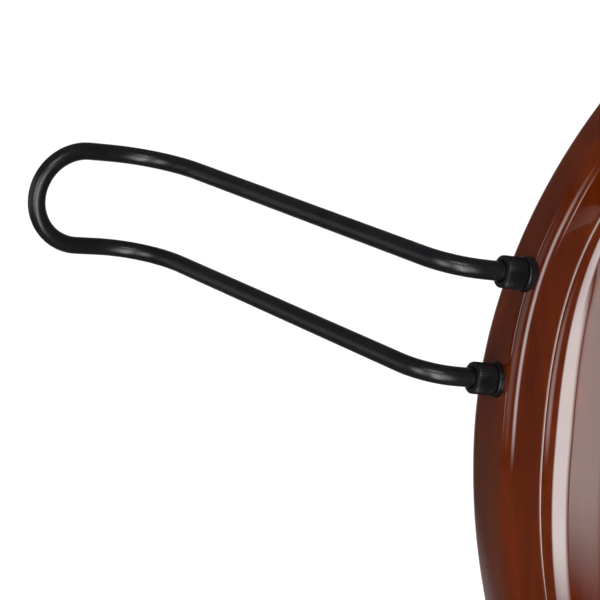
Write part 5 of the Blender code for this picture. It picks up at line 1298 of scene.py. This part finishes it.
def build_pickup():
    z = Z_BRIDGE - BRIDGE_THICK / 2 - GAP
    y = Y_BRIDGE_TOP + 26 * MM
    for name, side in (("bass", -1), ("treble", 1)):
        at = facing((side * 24 * MM, y, z), (0, 0, -1), (0, 1, 0))
        disc = [(0, 0), (7 * MM, 0), (7 * MM, 1.9 * MM), (6.4 * MM, 2.4 * MM), (4.2 * MM, 2.5 * MM), (4 * MM, 2.2 * MM),
                (0, 2.2 * MM)]
        add(f"piezo_disc_{name}", turned_mesh(f"piezo_disc_{name}", disc, at, 64), "black_plastic", "instrument",
            f"piezo_pickup_{name}")
    hole_z = Z_BRIDGE - 26 * MM
    surface = front_surface(24 * MM, hole_z)
    path = [(24 * MM, y + 8.4 * MM, z - 1.25 * MM), (24 * MM, y + 17 * MM, z - 4 * MM),
            (24 * MM, surface - 16 * MM, z - 12 * MM), (24 * MM, surface - 7 * MM, hole_z),
            (24 * MM, surface + 12 * MM, hole_z)]
    add("pickup_cable", tube_mesh("pickup_cable", smooth_path(path, 8 * MM, 10), 1.1 * MM, 16), "rubber",
        "instrument", "pickup_lead")
    ring = rounded([(4 * MM, 2 * MM), (4 * MM, 0.9 * MM), (2.5 * MM, 0.9 * MM), (2.5 * MM, -6 * MM),
                    (1.4 * MM, -6 * MM), (1.4 * MM, 2 * MM)], 0.45 * MM)
    at = facing((24 * MM, surface, hole_z), (0, -1, 0), (0, 0, 1))
    add("cable_grommet", turned_mesh("cable_grommet", ring, at, 48), "rubber", "instrument", "lead_grommet")


def build_controls(screw):
    inner = 112 * MM - GAP
    for name, up in (("volume", 238), ("tone", 204)):
        z = Z_BOTTOM + up * MM
        surface = half_width(z)
        axis = facing((0, 2 * MM, z), (1, 0, 0), (0, 0, 1))
        base = surface + 1.2 * MM
        top, end = base + 15 * MM, base + 9 * MM
        pot = rounded([(0, end), (3 * MM, end), (3 * MM, surface), (3.5 * MM, surface), (3.5 * MM, inner),
                       (8 * MM, inner), (8 * MM, inner - 9 * MM), (0, inner - 9 * MM)], 0.4 * MM, skip=(0, 7))
        add(f"{name}_potentiometer", turned_mesh(f"{name}_potentiometer", pot, axis, 64), "steel", "instrument",
            f"{name}_pot")
        knob = [(0, top - 0.5 * MM), (6.8 * MM, top - 0.5 * MM), (7.3 * MM, top), (7.8 * MM, top - 0.2 * MM),
                (8.5 * MM, top - 1.2 * MM), (9.1 * MM, base + 3.4 * MM), (9.5 * MM, base + 2.9 * MM),
                (9.5 * MM, base + 0.4 * MM), (9.2 * MM, base), (3.3 * MM, base), (3.3 * MM, end + GAP),
                (0, end + GAP)]

        def flute(index, step, radius):
            return radius - (0, 0.15 * MM, 0.4 * MM, 0.4 * MM, 0.15 * MM)[step % 5] if index in (4, 5) else radius

        piece = add(f"fluted_{name}_knob", turned_mesh(f"fluted_{name}_knob", knob, axis, 160, 30, flute),
                    "black_plastic", f"{name}_knob", f"{name}_knob")
        bm = bmesh.new()
        bmesh.ops.create_cube(bm, size=1)
        bmesh.ops.scale(bm, vec=(0.8 * MM, 6 * MM, 1 * MM), verts=bm.verts)
        bmesh.ops.translate(bm, vec=(0, 4.6 * MM, top), verts=bm.verts)
        bm.transform(axis)
        bool_cut(piece, finish_mesh(bm, "cutter"))
    z = Z_BOTTOM + 170 * MM
    seat = half_width(z) - 1.6 * MM
    low, high = seat + GAP, seat + GAP + 2.2 * MM
    jack = rounded([(11 * MM, high), (11 * MM, low), (6.5 * MM, low), (6.5 * MM, inner), (9 * MM, inner),
                    (9 * MM, inner - 15 * MM), (3.3 * MM, inner - 15 * MM), (3.3 * MM, high)], 0.6 * MM)
    axis = facing((0, 2 * MM, z), (1, 0, 0), (0, 0, 1))
    add("jack_socket", turned_mesh("jack_socket", jack, axis, 96), "black_steel", "instrument", "output_jack")
    polished("cavity_cover", "control_cover", "black_plastic", "instrument", 0.5 * MM)
    middle_z = Z_BOTTOM + 206 * MM
    for name, up in (("lower", -1), ("upper", 1)):
        piece = add(f"cavity_screw_{name}", screw, "steel", "instrument", f"cover_screw_{name}")
        piece.matrix_world = facing((85 * MM, Y_BACK + 0.35 * MM, middle_z + up * 59.5 * MM), (0, 1, 0), (0, 0, 1))
    polished("battery_hatch", "battery_door", "black_plastic", "battery_door", 0.5 * MM)
    polished("battery_can", "battery", "battery_shell", "instrument", 0.5 * MM)


def build_back():
    polished("joint_plate", "neck_plate", "black_steel", "instrument", 0.5 * MM)
    face = Y_BACK + 2.8 * MM
    middle_z = Z_TOP - 36 * MM
    long = face - Y_HEEL + 16 * MM
    for name, sx, sz in (("lower_left", -1, -1), ("lower_right", 1, -1), ("upper_right", 1, 1),
                         ("upper_left", -1, 1)):
        at = facing((sx * 15 * MM, face, middle_z + sz * 19 * MM), (0, 1, 0), (0, 0, 1))
        dome = [(4.4 * MM * math.cos(a), 2.4 * MM * math.sin(a) ** 0.7) for a in np.linspace(0.03, 1.5, 9)]
        profile = [(0, 2.4 * MM)] + list(reversed(dome)) + [(2.4 * MM, 0), (2.4 * MM, -long + 1 * MM),
                                                            (1.6 * MM, -long), (0, -long)]
        piece = add(f"joint_bolt_{name}", turned_mesh(f"joint_bolt_{name}", profile, at, 64), "steel", "instrument",
                    f"neck_bolt_{name}")
        hexagon = [(2 * MM * math.cos(a), 2 * MM * math.sin(a)) for a in np.linspace(0, 2 * math.pi, 7)[:-1]]
        bm = bmesh.new()
        skin(bm, [[(x, y, h) for x, y in hexagon] for h in (0.9 * MM, 4 * MM)])
        bm.transform(at)
        bool_cut(piece, finish_mesh(bm, "cutter"))



# ==== Openings in the body =====================================================================

def box_cutter(low, high):
    bm = bmesh.new()
    bmesh.ops.create_cube(bm, size=1)
    low, high = Vector(low), Vector(high)
    for v in bm.verts:
        v.co = Vector(((low[k] + high[k]) / 2 + v.co[k] * (high[k] - low[k]) for k in range(3)))
    return finish_mesh(bm, "cutter")


def cut_openings(body):
    """Pockets, wells and holes, each a gap wider than the piece that sits in it."""
    carve(body, box_cutter((-HEEL_HALF - GAP, Y_FRONT - 60 * MM, Z_TOP - 72 * MM),
                              (HEEL_HALF + GAP, Y_HEEL, Z_TOP + 10 * MM)))
    low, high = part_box("saddle")
    carve(body, box_cutter((low[0] - GAP, Y_FRONT - 10 * MM, low[2] - GAP), (high[0] + GAP, high[1] + GAP, high[2] + GAP)))
    low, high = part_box("control_cover")
    carve(body, box_cutter((58 * MM, Y_BACK - 30 * MM, Z_BOTTOM + 150 * MM),
                              (112 * MM, Y_BACK + 5 * MM, Z_BOTTOM + 262 * MM)))
    half_x, half_z = (high[0] - low[0]) / 2 + GAP, (high[2] - low[2]) / 2 + GAP
    mid_x, mid_z = (high[0] + low[0]) / 2, (high[2] + low[2]) / 2
    corners = rounded([(mid_x - half_x, mid_z - half_z), (mid_x + half_x, mid_z - half_z),
                       (mid_x + half_x, mid_z + half_z), (mid_x - half_x, mid_z + half_z)], 8.3 * MM, steps=8)
    bm = bmesh.new()
    skin(bm, [[(x, y, z) for x, z in corners] for y in (low[1] - GAP, Y_BACK + 5 * MM)])
    carve(body, finish_mesh(bm, "cutter"))
    low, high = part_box("battery")
    carve(body, box_cutter((low[0] - 1.5 * MM, low[1] - GAP, low[2] - 1.5 * MM),
                              (high[0] + 1.5 * MM, Y_BACK + 5 * MM, high[2] + 1.5 * MM)))
    low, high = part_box("battery_door")
    carve(body, box_cutter((low[0] - 0.4 * MM, low[1] - GAP, low[2] - 0.4 * MM),
                              (high[0] + 0.4 * MM, Y_BACK + 5 * MM, high[2] + 0.4 * MM)))
    carve(body, disc_cutter(11 * MM + GAP, (0, 0, Z_BOTTOM - 5 * MM), (0, 0, Z_BOTTOM + 45.3 * MM)))
    low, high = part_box("output_jack")
    z, y = (low[2] + high[2]) / 2, (low[1] + high[1]) / 2
    seat = high[0] - 2.5 * MM
    carve(body, disc_cutter(6.5 * MM + GAP, (105 * MM, y, z), (seat + 5 * MM, y, z)))
    carve(body, disc_cutter(11 * MM + GAP, (seat, y, z), (seat + 20 * MM, y, z), 96))
    for node in ("volume_pot", "tone_pot"):
        low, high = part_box(node)
        z, y = (low[2] + high[2]) / 2, (low[1] + high[1]) / 2
        carve(body, disc_cutter(3.5 * MM + GAP, (105 * MM, y, z), (high[0] + 5 * MM, y, z)))
    low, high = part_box("lead_grommet")
    x, z = (low[0] + high[0]) / 2, (low[2] + high[2]) / 2
    carve(body, disc_cutter(2.5 * MM + GAP, (x, low[1] - 5 * MM, z), (x, high[1] + 6 * MM, z)))
    body.data.shade_smooth()
    body.data.set_sharp_from_angle(angle=math.radians(22))


# ==== CAD nodes that keep their shape ==========================================================

def dress_cad_nodes():
    slots = {row["node"]: row["material_slot"] for row in frame["record"]["subparts"]}
    for node, made in frame["nodes"].items():
        made.data.materials.clear()
        made.data.materials.append(MATERIALS[slots[node]])


bpy.context.scene.view_settings.view_transform = "Standard"
build_camera()
build_world()
build_floor()
build_lights()
dress_cad_nodes()
body = build_body()
cut_openings(body)
build_body_rest()
screw = screw_mesh()
build_fingerboard()
build_neck()
build_machines(screw)
build_bridge()
build_tail()
build_strings()
build_endpin()
build_pickup()
build_controls(screw)
build_back()
